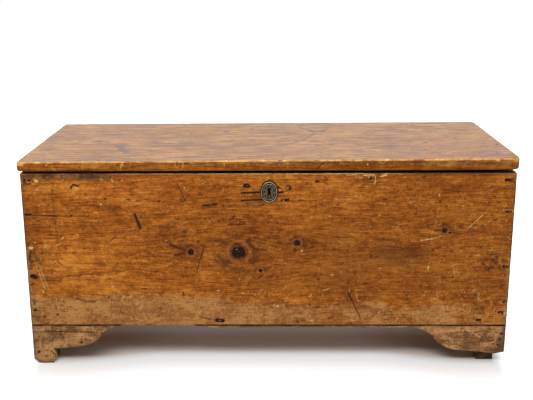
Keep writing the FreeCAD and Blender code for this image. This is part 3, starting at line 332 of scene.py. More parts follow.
# ---- mesh helpers
SHARP = math.radians(32.0)  # edges that turn more than this stay sharp
WELD = 1e-6
FLAT = 2e-5  # how far off its level a vertex of a flat face may be
NEAR_EDGES = [d * MM for d in (-0.5, 0.05, 0.45, 1.0, 1.8, 2.9, 4.3, 6.0)]  # the first grid lines of a relief


def graded_lines(low, high, step, near):
    """Grid lines from low to high: a step apart, and at the distances near from both ends."""
    near = np.array(near)
    count = max(2, int(round((high - low - 2 * near[-1]) / (step * QUICK_COARSER))))
    middle = np.linspace(low + near[-1], high - near[-1], count + 1)
    return np.concatenate([low + near[:-1], middle, (high - near[:-1])[::-1]])


def relief_block(points, back):
    """Closed block from a grid of points (rows x columns x 3): relief in front, flat behind at back."""
    rows, cols = points.shape[:2]
    index = np.arange(rows * cols).reshape(rows, cols)
    quads = np.stack([index[:-1, :-1], index[1:, :-1], index[1:, 1:], index[:-1, 1:]], -1).reshape(-1, 4)
    loop = np.concatenate([index[0, :-1], index[:-1, -1], index[-1, :0:-1], index[:0:-1, 0]])
    flat = points.reshape(-1, 3)
    back = np.asarray(back)
    along = np.argmax(np.abs(back))
    rear = flat[loop].copy()
    rear[:, along] = back[along]
    centre = rear.mean(0)
    verts = np.concatenate([flat, rear, centre[None]])
    first = rows * cols
    around = np.arange(len(loop))
    following = np.roll(around, -1)
    side = np.stack([loop[around], loop[following], first + following, first + around], -1)
    fan = np.stack([first + around, first + following, np.full(len(loop), first + len(loop))], -1)
    faces = [tuple(corners) for part in (quads, side, fan) for corners in part.tolist()]
    return new_mesh_object("block", verts, faces)


def new_object(name, data):
    obj = bpy.data.objects.new(name, data)
    bpy.context.scene.collection.objects.link(obj)
    return obj


def new_mesh_object(name, verts, faces):
    mesh = bpy.data.meshes.new(name)
    mesh.from_pydata(verts.tolist(), [], faces)
    mesh.update()
    return new_object(name, mesh)


def face_outwards(mesh, weld=None):
    """Turn all the faces outwards, after joining vertices closer than weld."""
    bm = bmesh.new()
    bm.from_mesh(mesh)
    if weld:
        bmesh.ops.remove_doubles(bm, verts=bm.verts, dist=weld)
    bmesh.ops.recalc_face_normals(bm, faces=bm.faces)
    bm.to_mesh(mesh)
    bm.free()


def welded_copy(node):
    """The CAD node's mesh as a closed mesh, in an object of its own."""
    mesh = frame["nodes"][node].data.copy()
    face_outwards(mesh, WELD)
    return new_object("tool_" + node, mesh)


def common_part(block, tool, node):
    """The part of the block that lies inside the tool, as the dressed piece of a node. Both are used up."""
    face_outwards(block.data)
    modifier = block.modifiers.new("inside", "BOOLEAN")
    modifier.operation = "INTERSECT"
    modifier.solver = "MANIFOLD"
    modifier.object = tool
    bpy.context.view_layer.update()
    result = bpy.data.meshes.new_from_object(block.evaluated_get(bpy.context.evaluated_depsgraph_get()))
    result.materials.clear()
    result.polygons.foreach_set("material_index", np.zeros(len(result.polygons), np.int32))
    for used in (block, tool):
        bpy.data.objects.remove(used)
    return new_object(node + "_dressed", result)


def places_mm(obj):
    """x, y and z of the vertices, in mm."""
    co = np.empty(len(obj.data.vertices) * 3)
    obj.data.vertices.foreach_get("co", co)
    return (co.reshape(-1, 3) / MM).T


def set_attribute(obj, name, values):
    attribute = obj.data.attributes.new(name, "FLOAT", "POINT")
    attribute.data.foreach_set("value", np.asarray(values, np.float32))


def face_centres(obj):
    centre = np.empty(len(obj.data.polygons) * 3)
    normal = np.empty(len(obj.data.polygons) * 3)
    obj.data.polygons.foreach_get("center", centre)
    obj.data.polygons.foreach_get("normal", normal)
    return centre.reshape(-1, 3), normal.reshape(-1, 3)


def smooth_shade(obj):
    obj.data.shade_smooth()
    obj.data.set_sharp_from_angle(angle=SHARP)


def outline_segments(mesh, axis, level):
    """Border segments of a mesh's flat face at a level of an axis, in the plane of that face."""
    count = {}
    for polygon in mesh.polygons:
        if all(abs(mesh.vertices[v].co[axis] - level) < FLAT for v in polygon.vertices):
            for key in polygon.edge_keys:
                count[key] = count.get(key, 0) + 1
    keep = [k for k in range(3) if k != axis]
    ends = [[mesh.vertices[v].co[k] for v in key for k in keep] for key, times in count.items() if times == 1]
    return np.array(ends)


def distance_to(segments, u, v):
    """Distance from each place to the nearest segment."""
    best = np.full(u.shape, 1.0)
    for u0, v0, u1, v1 in segments:
        du, dv = u1 - u0, v1 - v0
        t = np.clip(((u - u0) * du + (v - v0) * dv) / max(du * du + dv * dv, 1e-12), 0, 1)
        best = np.minimum(best, np.hypot(u - u0 - t * du, v - v0 - t * dv))
    return best


def arris(distance, radius):
    """How far a worn edge falls back at a distance from it."""
    inside = np.clip(1.0 - distance / radius, 0.0, 1.0)
    return radius * (1.0 - np.sqrt(1.0 - inside * inside))


# ---- node trees
class Tree:
    """Small helper that writes shader nodes of a material or a world as expressions."""

    def __init__(self, name, group=bpy.data.materials):
        self.owner = group.new(name)
        self.owner.use_nodes = True
        self.nodes, self.links = self.owner.node_tree.nodes, self.owner.node_tree.links
        self.nodes.clear()

    def put(self, socket, value):
        if isinstance(value, bpy.types.NodeSocket):
            self.links.new(value, socket)
        elif value is not None:
            if isinstance(value, (tuple, list)) and len(value) == 3 and len(socket.default_value) == 4:
                value = (*value, 1.0)
            socket.default_value = value

    def add(self, kind, inputs, output=0, **settings):
        node = self.nodes.new("ShaderNode" + kind)
        for name, value in settings.items():
            setattr(node, name, value)
        for name, value in inputs.items():
            self.put(node.inputs[name], value)
        return node.outputs[output] if output is not None else node

    def math(self, operation, a, b=None):
        return self.add("Math", {0: a, 1: b}, operation=operation)

    def plus(self, a, b):
        return self.math("ADD", a, b)

    def times(self, a, b):
        return self.math("MULTIPLY", a, b)

    def total(self, *parts):
        """Sum of values that each have a weight, from (value, weight) pairs."""
        return functools.reduce(self.plus, [self.times(value, weight) for value, weight in parts])

    def swing(self, value, amount):
        """How far a noise is off its middle, times an amount."""
        return self.times(self.math("SUBTRACT", value, 0.5), amount)

    def uneven(self, mask, swing, full):
        """Mask with a swing added where there is some of it, all of the swing where the mask is at full."""
        return self.plus(mask, self.times(swing, self.span(mask, 0.0, full)))

    def vector(self, operation, a, b):
        return self.add("VectorMath", {0: a, 1: b}, operation=operation)

    def split(self, vector):
        """The three parts of a vector."""
        return list(self.add("SeparateXYZ", {0: vector}, None).outputs)

    def span(self, value, low, high, to_low=0.0, to_high=1.0, smooth=True):
        """Value mapped from one range to another, clamped."""
        kind = "SMOOTHSTEP" if smooth else "LINEAR"
        inputs = {"Value": value, "From Min": low, "From Max": high, "To Min": to_low, "To Max": to_high}
        return self.add("MapRange", inputs, interpolation_type=kind)

    def noise(self, place, scale=1.0, detail=2.0, rough=0.5, twist=0.0):
        inputs = {"Vector": place, "Scale": scale, "Detail": detail, "Roughness": rough, "Distortion": twist}
        return self.add("TexNoise", inputs)

    def mix(self, amount, a, b, blend="MIX"):
        return self.add("Mix", {0: amount, 6: a, 7: b}, 2, data_type="RGBA", blend_type=blend)

    def choose(self, share, a, b):
        """Number between a and b."""
        return self.add("Mix", {0: share, 2: a, 3: b}, data_type="FLOAT")

    def attribute(self, name):
        return self.add("Attribute", {}, "Fac", attribute_name=name, attribute_type="GEOMETRY")

    def finish(self, colour, roughness, height, bump, metallic=0.0, specular=0.5):
        normal = self.add("Bump", {"Strength": 1.0, "Distance": bump, "Height": height})
        surface = self.add("BsdfPrincipled", {
            "Base Color": colour, "Roughness": roughness, "Metallic": metallic,
            "Specular IOR Level": specular, "Normal": normal})
        self.add("OutputMaterial", {0: surface}, None)
        return self.owner


# ---- pine
PLACE = "Object"  # texture coordinates of a piece, in metres
CHALK = (0.74, 0.64, 0.48)  # the palest chips
# dark colour of dirt, also laid on as painted shade in places
GRIME_AND_SHADE = (0.030, 0.014, 0.007)
DEEP_STAIN = (0.016, 0.007, 0.002)
KNOCK = (0.050, 0.018, 0.007)
RED_TINT = (0.80, 0.66, 0.62)
RUDDY_TINT = (0.55, 0.50, 0.60)
KNOT_FIGURE_TONE = (0.060, 0.020, 0.006)
KNOT_GLOW = (0.29, 0.085, 0.020)
KNOT_SHELL = (0.10, 0.030, 0.009)
KNOT_HEART = (0.012, 0.005, 0.003), (0.035, 0.013, 0.007)
PINE_BUMP = 0.0003


class Board:
    """Places on a pine board, in metres: along the grain and across it, where knots push the grain aside."""

    def __init__(self, t, along, seed, knots, knot_plane):
        self.t, self.seed = t, seed
        place = t.add("TexCoord", {}, PLACE)
        self.plain = t.vector("ADD", place, (seed, seed * 1.7, seed * 0.6))
        axis = t.split(place)
        self.along = axis[along]
        self.stretched = [i == along for i in range(3)]
        self.nearest = None
        u_axis, v_axis = knot_plane
        bent = axis[v_axis]
        for u, v, half_width, half_height, pull in knots:
            du = t.math("SUBTRACT", axis[u_axis], u * MM)
            dv = t.math("SUBTRACT", axis[v_axis], v * MM)
            slow = t.times(du, 0.55)
            square = t.plus(t.times(slow, slow), t.times(dv, dv))
            share = t.math("DIVIDE", (pull * MM) ** 2 * 0.6, t.plus(square, (pull * MM) ** 2 * 0.25))
            bent = t.math("SUBTRACT", bent, t.times(dv, t.math("MINIMUM", share, 0.94)))
            wide = t.math("DIVIDE", du, half_width * MM)
            tall = t.math("DIVIDE", dv, half_height * MM)
            reach = t.math("SQRT", t.plus(t.times(wide, wide), t.times(tall, tall)))
            self.nearest = reach if self.nearest is None else t.math("MINIMUM", self.nearest, reach)
        self.first, self.second = [bent if i == v_axis else axis[i] for i in range(3) if i != along]

    def grain(self, length, width, detail=2.0, rough=0.55, twist=0.0, shift=0.0):
        """Noise in streaks along the board, of a length and width in mm."""
        t = self.t
        place = t.add("CombineXYZ", {
            0: t.plus(t.times(self.along, 1000.0 / length), self.seed + shift),
            1: t.plus(t.times(self.first, 1000.0 / width), shift),
            2: t.times(self.second, 1000.0 / width)})
        return t.noise(place, 1.0, detail, rough, twist)

    def cloud(self, size, stretch, detail=2.0, rough=0.55, twist=0.0, shift=0.0):
        """Noise in patches of a size in mm, longer along the board."""
        scale = tuple(1000.0 / size / (stretch if long else 1.0) for long in self.stretched)
        place = self.t.vector("ADD", self.t.vector("MULTIPLY", self.plain, scale), (shift, 0.0, 0.0))
        return self.t.noise(place, 1.0, detail, rough, twist)


def with_knots(t, board, colour):
    """Knots with a glow, a shell and a ringed heart, and the dark figure round them."""
    ragged = t.plus(board.nearest, t.swing(board.cloud(7, 1.2, 3.0, 0.6, 0.5, 4.0), 0.7))
    cloudy = t.span(board.cloud(26, 1.5, 3.0, 0.6, 0.8, 6.0), 0.44, 0.60)
    curl = t.span(t.math("SINE", t.times(ragged, 9.5)), -0.2, 0.9)
    figure = t.times(t.span(ragged, 4.6, 1.7), t.times(cloudy, t.plus(t.times(curl, 0.4), 0.5)))
    colour = t.mix(t.times(figure, 0.95), colour, KNOT_FIGURE_TONE)
    glow = t.times(t.span(ragged, 2.1, 1.75), t.span(ragged, 1.15, 1.45))
    colour = t.mix(t.times(glow, 0.6), colour, KNOT_GLOW)
    shell = t.times(t.span(ragged, 1.45, 1.3), t.span(ragged, 1.0, 1.12))
    colour = t.mix(t.times(shell, 0.75), colour, KNOT_SHELL)
    heart = t.mix(t.span(t.math("SINE", t.times(ragged, 16.0)), 0.0, 1.0), *KNOT_HEART)
    return t.mix(t.span(ragged, 1.12, 0.98), colour, heart)


def pine(name, deep, middle, light, along=0, knots=(), knot_plane=(0, 2), seed=0.0, streak=1.0, patch=1.0,
         fleck=1.0, redden=0.5, reach=1.0, spread=1.0, worn=(0.44, 0.215, 0.070),
         worn_red=(0.28, 0.115, 0.034), bare=(0.62, 0.37, 0.16), stained=(0.085, 0.028, 0.009),
         roughness=0.5, specular=0.15):
    """Old pine: streaks of grain between a deep, a middle and a light tone, knots, flecks, wear, and dirt
    that in places is painted shade.
    """
    t = Tree(name)
    board = Board(t, along, seed, knots, knot_plane)
    hair = board.grain(60 * reach, 1.5 * spread, 2.0, 0.6)
    line = board.grain(95 * reach, 3.6 * spread, 3.0, 0.6, 0.15, 3.1)
    band = board.grain(300 * reach, 13, 2.0, 0.5, 0.2, 7.7)
    broad = board.cloud(120, 1.8, 3.0, 0.55, 0.3, 1.3)
    medium = board.cloud(34, 1.7, 3.0, 0.6, 0.4, 5.1)
    small = board.cloud(11 * spread, 1.4, 3.0, 0.65, 0.3, 9.4)
    crumb = board.cloud(3.2 * spread, 1.3, 2.0, 0.6, 0.0, 2.2)

    tone = 0.5
    for part, weight in ((hair, 0.6 * streak), (line, 1.5 * streak), (band, 0.55 * streak), (crumb, 0.7),
                         (broad, 0.9 * patch), (medium, 0.8 * patch), (small, 1.0 * patch)):
        tone = t.plus(t.swing(part, weight), tone)
    colour = t.mix(t.span(tone, 0.12, 0.5, smooth=False), deep, middle)
    colour = t.mix(t.span(tone, 0.5, 0.88, smooth=False), colour, light)
    reddish = t.span(board.cloud(75, 1.5, 2.0, 0.5, 0.5, 11.0), 0.48, 0.66)
    colour = t.mix(t.times(reddish, redden), colour, t.mix(1.0, colour, RED_TINT, "MULTIPLY"))
    ruddy = t.uneven(t.attribute("ruddy"), t.swing(medium, 1.2), 0.4)
    ruddy = t.span(ruddy, 0.0, 1.0, smooth=False)
    colour = t.mix(ruddy, colour, t.mix(1.0, colour, RUDDY_TINT, "MULTIPLY"))

    # finish rubbed through
    wear = t.plus(t.attribute("worn"), t.plus(t.swing(medium, 0.9), t.swing(small, 0.9)))
    wear = t.span(wear, 0.15, 0.85)
    upright = t.noise(t.vector("MULTIPLY", board.plain, (420.0, 420.0, 70.0)), 1.0, 2.0, 0.6, 0.6)
    rub = t.total((line, 0.45), (upright, 0.5), (small, 0.5), (crumb, 0.6))
    rub = t.plus(rub, t.plus(t.swing(broad, 0.7), t.swing(medium, 0.7)))
    colour = t.mix(t.times(wear, 0.82), colour, t.mix(t.span(rub, 0.88, 1.14), worn_red, worn))
    if knots:
        colour = with_knots(t, board, colour)

    # small knocks, dark and light
    dots = t.math("MAXIMUM", t.span(board.cloud(6.5 * spread, 1.7, 1.0, 0.5, 0.4, 13.0), 0.655, 0.72),
                  t.span(board.grain(14 * spread, 3.0 * spread, 1.0, 0.5, 0.0, 15.0), 0.69, 0.76))
    dots = t.times(dots, t.span(board.cloud(60, 1.2, 2.0, 0.5, 0.0, 17.0), 0.36, 0.56, 0.25, 1.0))
    colour = t.mix(t.times(dots, 0.72 * fleck), colour, KNOCK)
    chips = t.span(board.cloud(5.0 * spread, 1.2, 1.0, 0.5, 0.5, 19.0), 0.70, 0.76)
    colour = t.mix(t.times(chips, 0.55 * fleck), colour, bare)

    # bare wood, dirt that in places is painted shade, and stains, from the marks
    pale = t.uneven(t.attribute("pale"), t.swing(crumb, 0.8), 0.3)
    wood = t.mix(t.span(pale, 0.3, 0.8), tuple(c * 0.72 for c in bare), bare)
    wood = t.mix(t.span(pale, 0.96, 1.04), wood, CHALK)
    colour = t.mix(t.span(pale, 0.05, 0.75, 0.0, 0.95), colour, wood)
    grime_and_shade_cover = t.uneven(t.attribute("grime"), t.plus(t.swing(small, 1.3), t.swing(crumb, 0.7)), 0.3)
    colour = t.mix(t.times(t.span(grime_and_shade_cover, 0.05, 1.0), 0.9), colour, GRIME_AND_SHADE)
    stain = t.uneven(t.attribute("dark"), t.swing(crumb, 0.5), 0.3)
    colour = t.mix(t.span(stain, 0.05, 0.6, 0.0, 0.9), colour, stained)
    colour = t.mix(t.span(stain, 0.5, 0.9), colour, DEEP_STAIN)

    gloss = t.plus(t.plus(t.swing(small, 0.25), roughness), t.times(wear, 0.15))
    height = t.total((hair, 0.5), (line, 0.7), (small, 0.8), (crumb, 0.3), (dots, -0.8))
    return t.finish(colour, gloss, height, PINE_BUMP, specular=specular)


def iron(name):
    t = Tree(name)
    place = t.add("TexCoord", {}, PLACE)
    coarse = t.noise(place, 90.0, 5.0, 0.65, 0.4)
    fine = t.noise(place, 900.0, 4.0, 0.7)
    rust = t.span(coarse, 0.45, 0.66)
    colour = t.mix(fine, (0.045, 0.038, 0.034), (0.10, 0.085, 0.075))
    colour = t.mix(t.times(rust, 0.8), colour, t.mix(fine, (0.11, 0.045, 0.02), (0.20, 0.085, 0.035)))
    gloss = t.span(coarse, 0.3, 0.7, 0.42, 0.8)
    metallic = t.span(rust, 0.2, 0.8, 0.85, 0.2)
    return t.finish(colour, gloss, t.plus(t.times(coarse, 0.6), fine), 0.0003, metallic)


def brass(name):
    t = Tree(name)
    place = t.add("TexCoord", {}, PLACE)
    coarse = t.noise(place, 160.0, 5.0, 0.6, 0.3)
    fine = t.noise(place, 1400.0, 3.0, 0.7)
    colour = t.mix(coarse, (0.10, 0.075, 0.033), (0.18, 0.135, 0.060))
    rubbed_bright = t.times(t.attribute("pale"), t.span(coarse, 0.35, 0.6, 0.35, 0.95))
    colour = t.mix(rubbed_bright, colour, (0.60, 0.47, 0.30))
    colour = t.mix(t.attribute("dark"), colour, (0.008, 0.006, 0.004))
    gloss = t.span(fine, 0.3, 0.7, 0.34, 0.6)
    return t.finish(colour, gloss, t.plus(t.times(coarse, 0.5), fine), 0.00012, 0.8)


# ---- dressing a board
def relief_face(tool, node, axis, sign, step, relief):
    """Block that fills the node's box except for a fine relief on one face.

    relief(u, v, edge) gives in millimetres how far each place of that face lies under it. u and v are the
    other two axes and edge is the distance to the nearest edge or hole of the face.
    """
    low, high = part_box(node)
    level = high[axis] if sign > 0 else low[axis]
    u_axis, v_axis = [k for k in range(3) if k != axis]
    segments = outline_segments(tool.data, axis, level)
    lines = [graded_lines(low[k], high[k], step * MM, NEAR_EDGES) for k in (u_axis, v_axis)]
    u, v = np.meshgrid(*lines, indexing="ij")
    edge = distance_to(segments, u.ravel(), v.ravel())
    fall = relief(u.ravel() / MM, v.ravel() / MM, edge / MM) * MM + SKIN
    points = np.empty((*u.shape, 3))
    points[..., u_axis] = u
    points[..., v_axis] = v
    points[..., axis] = level - sign * fall.reshape(u.shape)
    back = np.zeros(3)
    back[axis] = (low[axis] - OUTSIDE) if sign > 0 else (high[axis] + OUTSIDE)
    return relief_block(points, back)


def dress(node, faces):
    """The CAD board with some of its flat faces under a fine relief: a list of (axis, sign, step, relief)."""
    tool = welded_copy(node)
    for face in faces:
        tool = common_part(relief_face(tool, node, *face), tool, node)
    return tool


def put_on(obj, node, body, slot, finish, *others):
    """Give a dressed piece its materials and body, and hide the CAD node that it stands for; slot is not
    used.

    others are pairs of a further material and a test of face centres (mm) and normals for where it goes.
    """
    obj.data.materials.append(finish)
    centre, normal = face_centres(obj)
    chosen = np.zeros(len(centre), np.int32)
    for number, (material, belongs) in enumerate(others):
        obj.data.materials.append(material)
        chosen = np.where(belongs(centre / MM, normal), number + 1, chosen)
    obj.data.polygons.foreach_set("material_index", chosen.astype(np.int32))
    smooth_shade(obj)
    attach(obj, body)
    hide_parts(node)


def set_masks(obj, **masks):
    """Point attributes that the pine reads: dark, pale, worn, grime (dirt, and in places painted shade) and
    ruddy, 0 where nothing is given.
    """
    count = len(obj.data.vertices)
    for name in ("dark", "pale", "worn", "grime", "ruddy"):
        set_attribute(obj, name, np.clip(masks.get(name, np.zeros(count)), 0, 1))


# ---- front board
STRIP_GAP = (-354.0, -180.0)  # where the strip under the case is broken off, mm


def on_strip(x):
    """Whether the strip of the plinth is whole under the board there."""
    return (x < STRIP_GAP[0]) | (x > STRIP_GAP[1])


def front_relief(x, z, edge):
    depth, _, _ = lay_marks(front_marks, x, z)
    plane = 0.22 * rough_field(x, z * 2.5, 160, 11) + 0.10 * field(x, z, 22, 15)
    worn = 1.5 + 1.1 * rough_field(x, z, 26, 21)
    from_rim = RIM - z
    worn = np.where(from_rim < 30, worn + 0.8 + 1.2 * np.clip(rough_field(x, z, 14, 25), 0, 1), worn)
    near_hole = (edge < 12) & (np.abs(x) < 552) & (from_rim > 14) & (z > BASE + 20)
    worn = np.where(near_hole, 0.7, worn)
    groove = 1.6 * on_strip(x) * step_up(z - BASE, 2.6, 0.4)
    return depth * PRESS + 0.3 + plane + arris(edge, np.clip(worn, 0.7, 5.0)) + groove


def inner_relief(u, v, edge):
    """Hand-planed inner face: shallow hollows along the board and softened edges."""
    return 0.25 + 0.2 * field(u, v, 60, 41) + arris(edge, 1.2)


def rim_relief(u, v, edge):
    """Top edge of a board, rubbed and a little uneven."""
    return 0.2 + 0.15 * field(u, v, 18, 43) + arris(edge, 0.9 + 0.4 * field(u, v, 30, 47))


def front_rim_relief(x, y, edge):
    """Top edge of the front board, worn down towards the front."""
    return rim_relief(x, y, edge) + 0.8 * step_up(y - FRONT, 15, 7)


def smoke(u, v, u0, v0, half_width, half_height):
    """Soft dark cloud on a face."""
    return step_up(np.hypot((u - u0) / half_width, (v - v0) / half_height), 1.2, 0.3)


def seam(x, off):
    """Dark line where the plinth meets the case, by the distance from it in mm."""
    return on_strip(x) * step_up(off, 3.4, 1.2) * (0.75 + 0.35 * rough_field(x, off, 24, 29))


def looks_inward(axis, sign, rim=True):
    """Test for the inner face of a board that is seen from outside, and for the inner part of its rim."""
    level = {(0, -1): -END, (0, 1): END, (1, -1): FRONT, (1, 1): BACK}[axis, sign]

    def belongs(place, normal):
        on_rim = (normal[:, 2] > 0.8) & ((level - place[:, axis]) * sign > 3) & rim
        return (normal[:, axis] * sign < -0.5) | on_rim
    return belongs


FRONT_CLOUDS = [
    # strength, x, z, half width and half height of spotty dirt
    (0.75, 530, 258, 42, 34),
    (0.62, 518, 155, 56, 36),
    (0.60, -545, 278, 30, 44),
    (0.55, -548, 135, 30, 30),
]


def front_wear(x, z, from_rim, to_side):
    """Where the finish is rubbed through: low down, at the ends and along the left of the rim."""
    line = 177 - 22 * step_up(x, -200, 60) + 9 * rough_field(x, z * 4, 90, 33)
    line = line + 5 * rough_field(x, z * 3, 22, 57)
    low = step_up(z, line + 20, line - 22) * (0.85 + 0.25 * rough_field(x, z, 45, 35))
    low = low * (1 - 0.25 * step_up(x, -100, 200)) * (1 - 0.45 * step_up(x, 430, 530))
    side = 0.7 * step_up(to_side, 16, 3) * step_up(z, 333, 243)
    rim = 0.8 * step_up(from_rim, 18, 8) * step_up(x, -300, -400) * (0.8 + 0.5 * rough_field(x, z, 20, 51))
    return highest(low, side, rim)


def front_grime(x, z, from_rim, to_side):
    """Old dirt along the left of the rim, at the ends, in clouds and in a drip on the left; a thin band of
    painted shade under the lid from the left to the middle of the rim; a darker band under the rim on the
    right.
    """
    spotty = np.clip(0.55 + 1.3 * rough_field(x, z, 8, 55), 0, 1.2)
    off_drip = np.abs(x - (-499 + (434 - z) * 0.046)) / 4.5
    return highest(
        0.9 * step_up(from_rim, 26, 8) * step_up(x, -250, -420) * (0.75 + 0.5 * rough_field(x, z, 22, 37)),
        # painted shade: a thin dark band just under the lid
        0.35 * step_up(from_rim, 14, 3) * step_up(x, 60, -250),
        0.42 * step_up(from_rim, 9, 4) * step_up(x, 285, 330),
        0.45 * smoke(x, z, 315, 275, 85, 36),
        *(strength * smoke(x, z, *cloud) * spotty for strength, *cloud in FRONT_CLOUDS),
        0.32 * step_up(to_side, 26, 2),
        0.5 * step_up(x, -470, -550) * step_up(z, 200, 150) * spotty,
        0.38 * step_up(off_drip, 1.2, 0.3) * step_up(np.abs(z - 368), 70, 60))


def front_redness(x, z):
    """Redder wood from the middle to the right."""
    ruddy = 0.24 * step_up(x, -420, -220) + 0.20 * step_up(x, 60, 240) + 0.5 * smoke(x, z, 60, 270, 260, 100)
    ruddy = ruddy + 0.2 * step_up(x, 60, 240) * step_up(z, 350, 280) + 0.3 * step_up(x, -480, -550)
    return ruddy * step_up(z, 130, 200) * (1 + 0.35 * rough_field(x, z * 2, 70, 45))


def make_front():
    front = dress("front_board", [(1, -1, 2.25, front_relief), (1, 1, 9.0, inner_relief),
                                  (2, 1, 5.0, front_rim_relief)])
    x, y, z = places_mm(front)
    from_rim, to_side, behind = RIM - z, END - np.abs(x), y - FRONT
    shown = step_up(behind, 6.0, 3.0)
    line = seam(x, z - BASE)
    on_top = (from_rim < 2.5) & (behind > 2.2)
    _, dark, pale = lay_marks(front_marks, x, z)
    # pale rim arris: worn wood, and partly a painted highlight of the rounded edge catching the light
    rim_wear_and_highlight = step_up(from_rim, 4.5, 1.2) * (0.8 + 0.5 * rough_field(x, z, 18, 31)) * step_up(x, -470, -400)
    rim_wear_and_highlight = rim_wear_and_highlight * (0.75 - 0.6 * step_up(x, 285, 330))
    side_line = step_up(to_side, 3.2, 1.2) * step_up(to_side, 0.15, 0.6)
    dark = highest(dark, 0.95 * side_line * step_up(rough_field(x, z, 9, 39), -0.5, 0.0))
    set_masks(front,
              dark=highest(dark * shown, line),
              pale=np.where(on_top, 0.0, highest(pale, rim_wear_and_highlight) * shown * (1 - line)),
              worn=front_wear(x, z, from_rim, to_side) * shown,
              # the rim's top under the lid gets 0.78: painted shade of the dark gap under the closed lid, as
              # well as dirt
              grime=np.where(on_top, 0.78, front_grime(x, z, from_rim, to_side) * shown),
              ruddy=front_redness(x, z) * shown)
    put_on(front, "front_board", "chest", "case_pine", front_pine, (raw_pine, looks_inward(1, -1)))


# ---- ends, back and base
def outer_relief(seed, wave=70, rounding=2.2, marks=()):
    """Relief of a weathered outer face."""
    def relief(u, v, edge):
        depth, _, _ = lay_marks(marks, u, v)
        plane = 0.3 * rough_field(u, v * 2.0, wave, seed)
        worn = rounding + 0.8 * rough_field(u, v, 24, seed + 4)
        return depth * PRESS + 0.35 + plane + arris(edge, np.clip(worn, 0.6, 5.0))
    return relief


def weathered(obj, axis, level, marks, top, seed, low_wear=0.6, edges=()):
    """Masks of a board seen from outside: marks, a worn foot, a pale top arris and dirt near given edges."""
    at = places_mm(obj)
    u, v = at[1 - axis], at[2]
    shown = step_up(np.abs(at[axis] - level), 6.0, 3.0)
    _, dark, pale = lay_marks(marks, u, v)
    pale = highest(pale, step_up(top - v, 4.0, 1.0) * (0.5 + 0.5 * rough_field(u, v, 18, seed + 1)))
    worn = low_wear * step_up(v, 190, 110) * (0.8 + 0.4 * rough_field(u, v, 50, seed + 2))
    grime = highest(0.25 + 0.25 * rough_field(u, v, 120, seed + 3), 0.5 * step_up(top - v, 16, 2),
                    *(0.6 * step_up(np.abs(u - place), 24, 2) for place in edges))
    set_masks(obj, dark=dark * shown, pale=pale * shown, worn=worn * shown,
              grime=np.clip(grime, 0, 1) * shown)


def make_end(node, sign, seed):
    marks = scattered(70, (-205, 190), (100, 468), seed) + [
        cut(-120, 300 + seed, -60, 262, 2.4, 0.5, 0.7), scratch(60, 400, 98, 372 - seed, 2.0, 0.3, 0.5),
        dent(120, 180 + seed, 16, 8, 0.9, 0.8, turn=20)]
    board = dress(node, [(0, sign, 3.2, outer_relief(seed, marks=marks)), (0, -sign, 10.0, inner_relief),
                         (2, 1, 5.0, rim_relief)])
    weathered(board, 0, sign * END, marks, RIM, seed, edges=(FRONT + WALL, BACK - WALL))
    put_on(board, node, "chest", "case_pine", end_pines[node], (raw_pine, looks_inward(0, sign)))


def make_back():
    marks = scattered(90, (-560, 560), (100, 468), 91, 1.2)
    board = dress("back_board", [(1, 1, 5.0, outer_relief(93, 110, marks=marks)), (1, -1, 10.0, inner_relief),
                                 (2, 1, 5.0, rim_relief)])
    weathered(board, 1, BACK, marks, RIM, 95, edges=(-570, 570))
    put_on(board, "back_board", "chest", "case_pine", back_pine, (raw_pine, looks_inward(1, 1)))


PLINTH_MARKS = [
    dent(-557, 29, 8, 8, 0.7, 0.95), dent(-452, 55, 8, 8, 0.6, 0.9), dent(561, 77, 9, 8, 0.6, 0.9),
    dent(557, 63, 8, 8, 0.6, 0.9), dent(553, 49, 8, 8, 0.6, 0.85),
    scratch(474, 90, 509, 69, 6, 0.5, 0.55, 0.3), cut(-540, 83, -420, 81, 1.8, 0.5, 0.7),
    cut(-520, 37, -470, 39, 2, 0.5, 0.6),
]


def plinth_relief(x, z, edge):
    depth, _, _ = lay_marks(plinth_marks, x, z)
    plane = 0.35 * rough_field(x, z * 2.0, 50, 61) + 0.12 * field(x, z, 9, 65)
    worn = np.where(z > 88, 1.2, 2.0 + 1.3 * rough_field(x, z, 16, 67))
    return depth * PRESS + 0.5 + plane + arris(edge, np.clip(worn, 0.8, 4.5))


def make_front_plinth():
    plinth = dress("front_plinth", [(1, -1, 1.9, plinth_relief), (1, 1, 8.0, inner_relief)])
    x, y, z = places_mm(plinth)
    shown = step_up(y - FRONT, 8.0, 5.0)
    line = seam(x, BASE - z)
    _, dark, pale = lay_marks(plinth_marks, x, z)
    pale = highest(pale, 0.55 * step_up(z, 88, 94) * rough_field(x, z, 20, 71))
    grime = highest(0.25 + 0.6 * rough_field(x, z, 34, 75), 0.75 * step_up(z, 16, 2),
                    0.55 * step_up(END - np.abs(x), 18, 2))
    set_masks(plinth, dark=highest(dark * shown, line), pale=pale * shown * (1 - line),
              worn=(0.75 + 0.5 * rough_field(x, z, 40, 73)) * shown, grime=np.clip(grime, 0, 1) * shown)
    put_on(plinth, "front_plinth", "chest", "base_pine", plinth_pine, (raw_pine, looks_inward(1, -1, False)))


def make_base_board(node, axis, sign, step, marks, seed, edges=()):
    """Plinth of a side, or bracket of the back."""
    board = dress(node, [(axis, sign, step, outer_relief(seed, 40, 2.4, marks)),
                         (axis, -sign, 10.0, inner_relief)])
    weathered(board, axis, sign * END if axis == 0 else BACK, marks, BASE, seed, 0.9, edges)
    put_on(board, node, "chest", "base_pine", plinth_pine, (raw_pine, looks_inward(axis, sign, False)))


def make_side_plinth(node, sign, seed):
    marks = scattered(26, (-205, 215), (10, 92), seed)
    make_base_board(node, 0, sign, 3.0, marks, seed, (FRONT + WALL, BACK))


def make_bracket(node, seed):
    make_base_board(node, 1, 1, 3.5, scattered(10, (-548, 548), (10, 92), seed), seed)


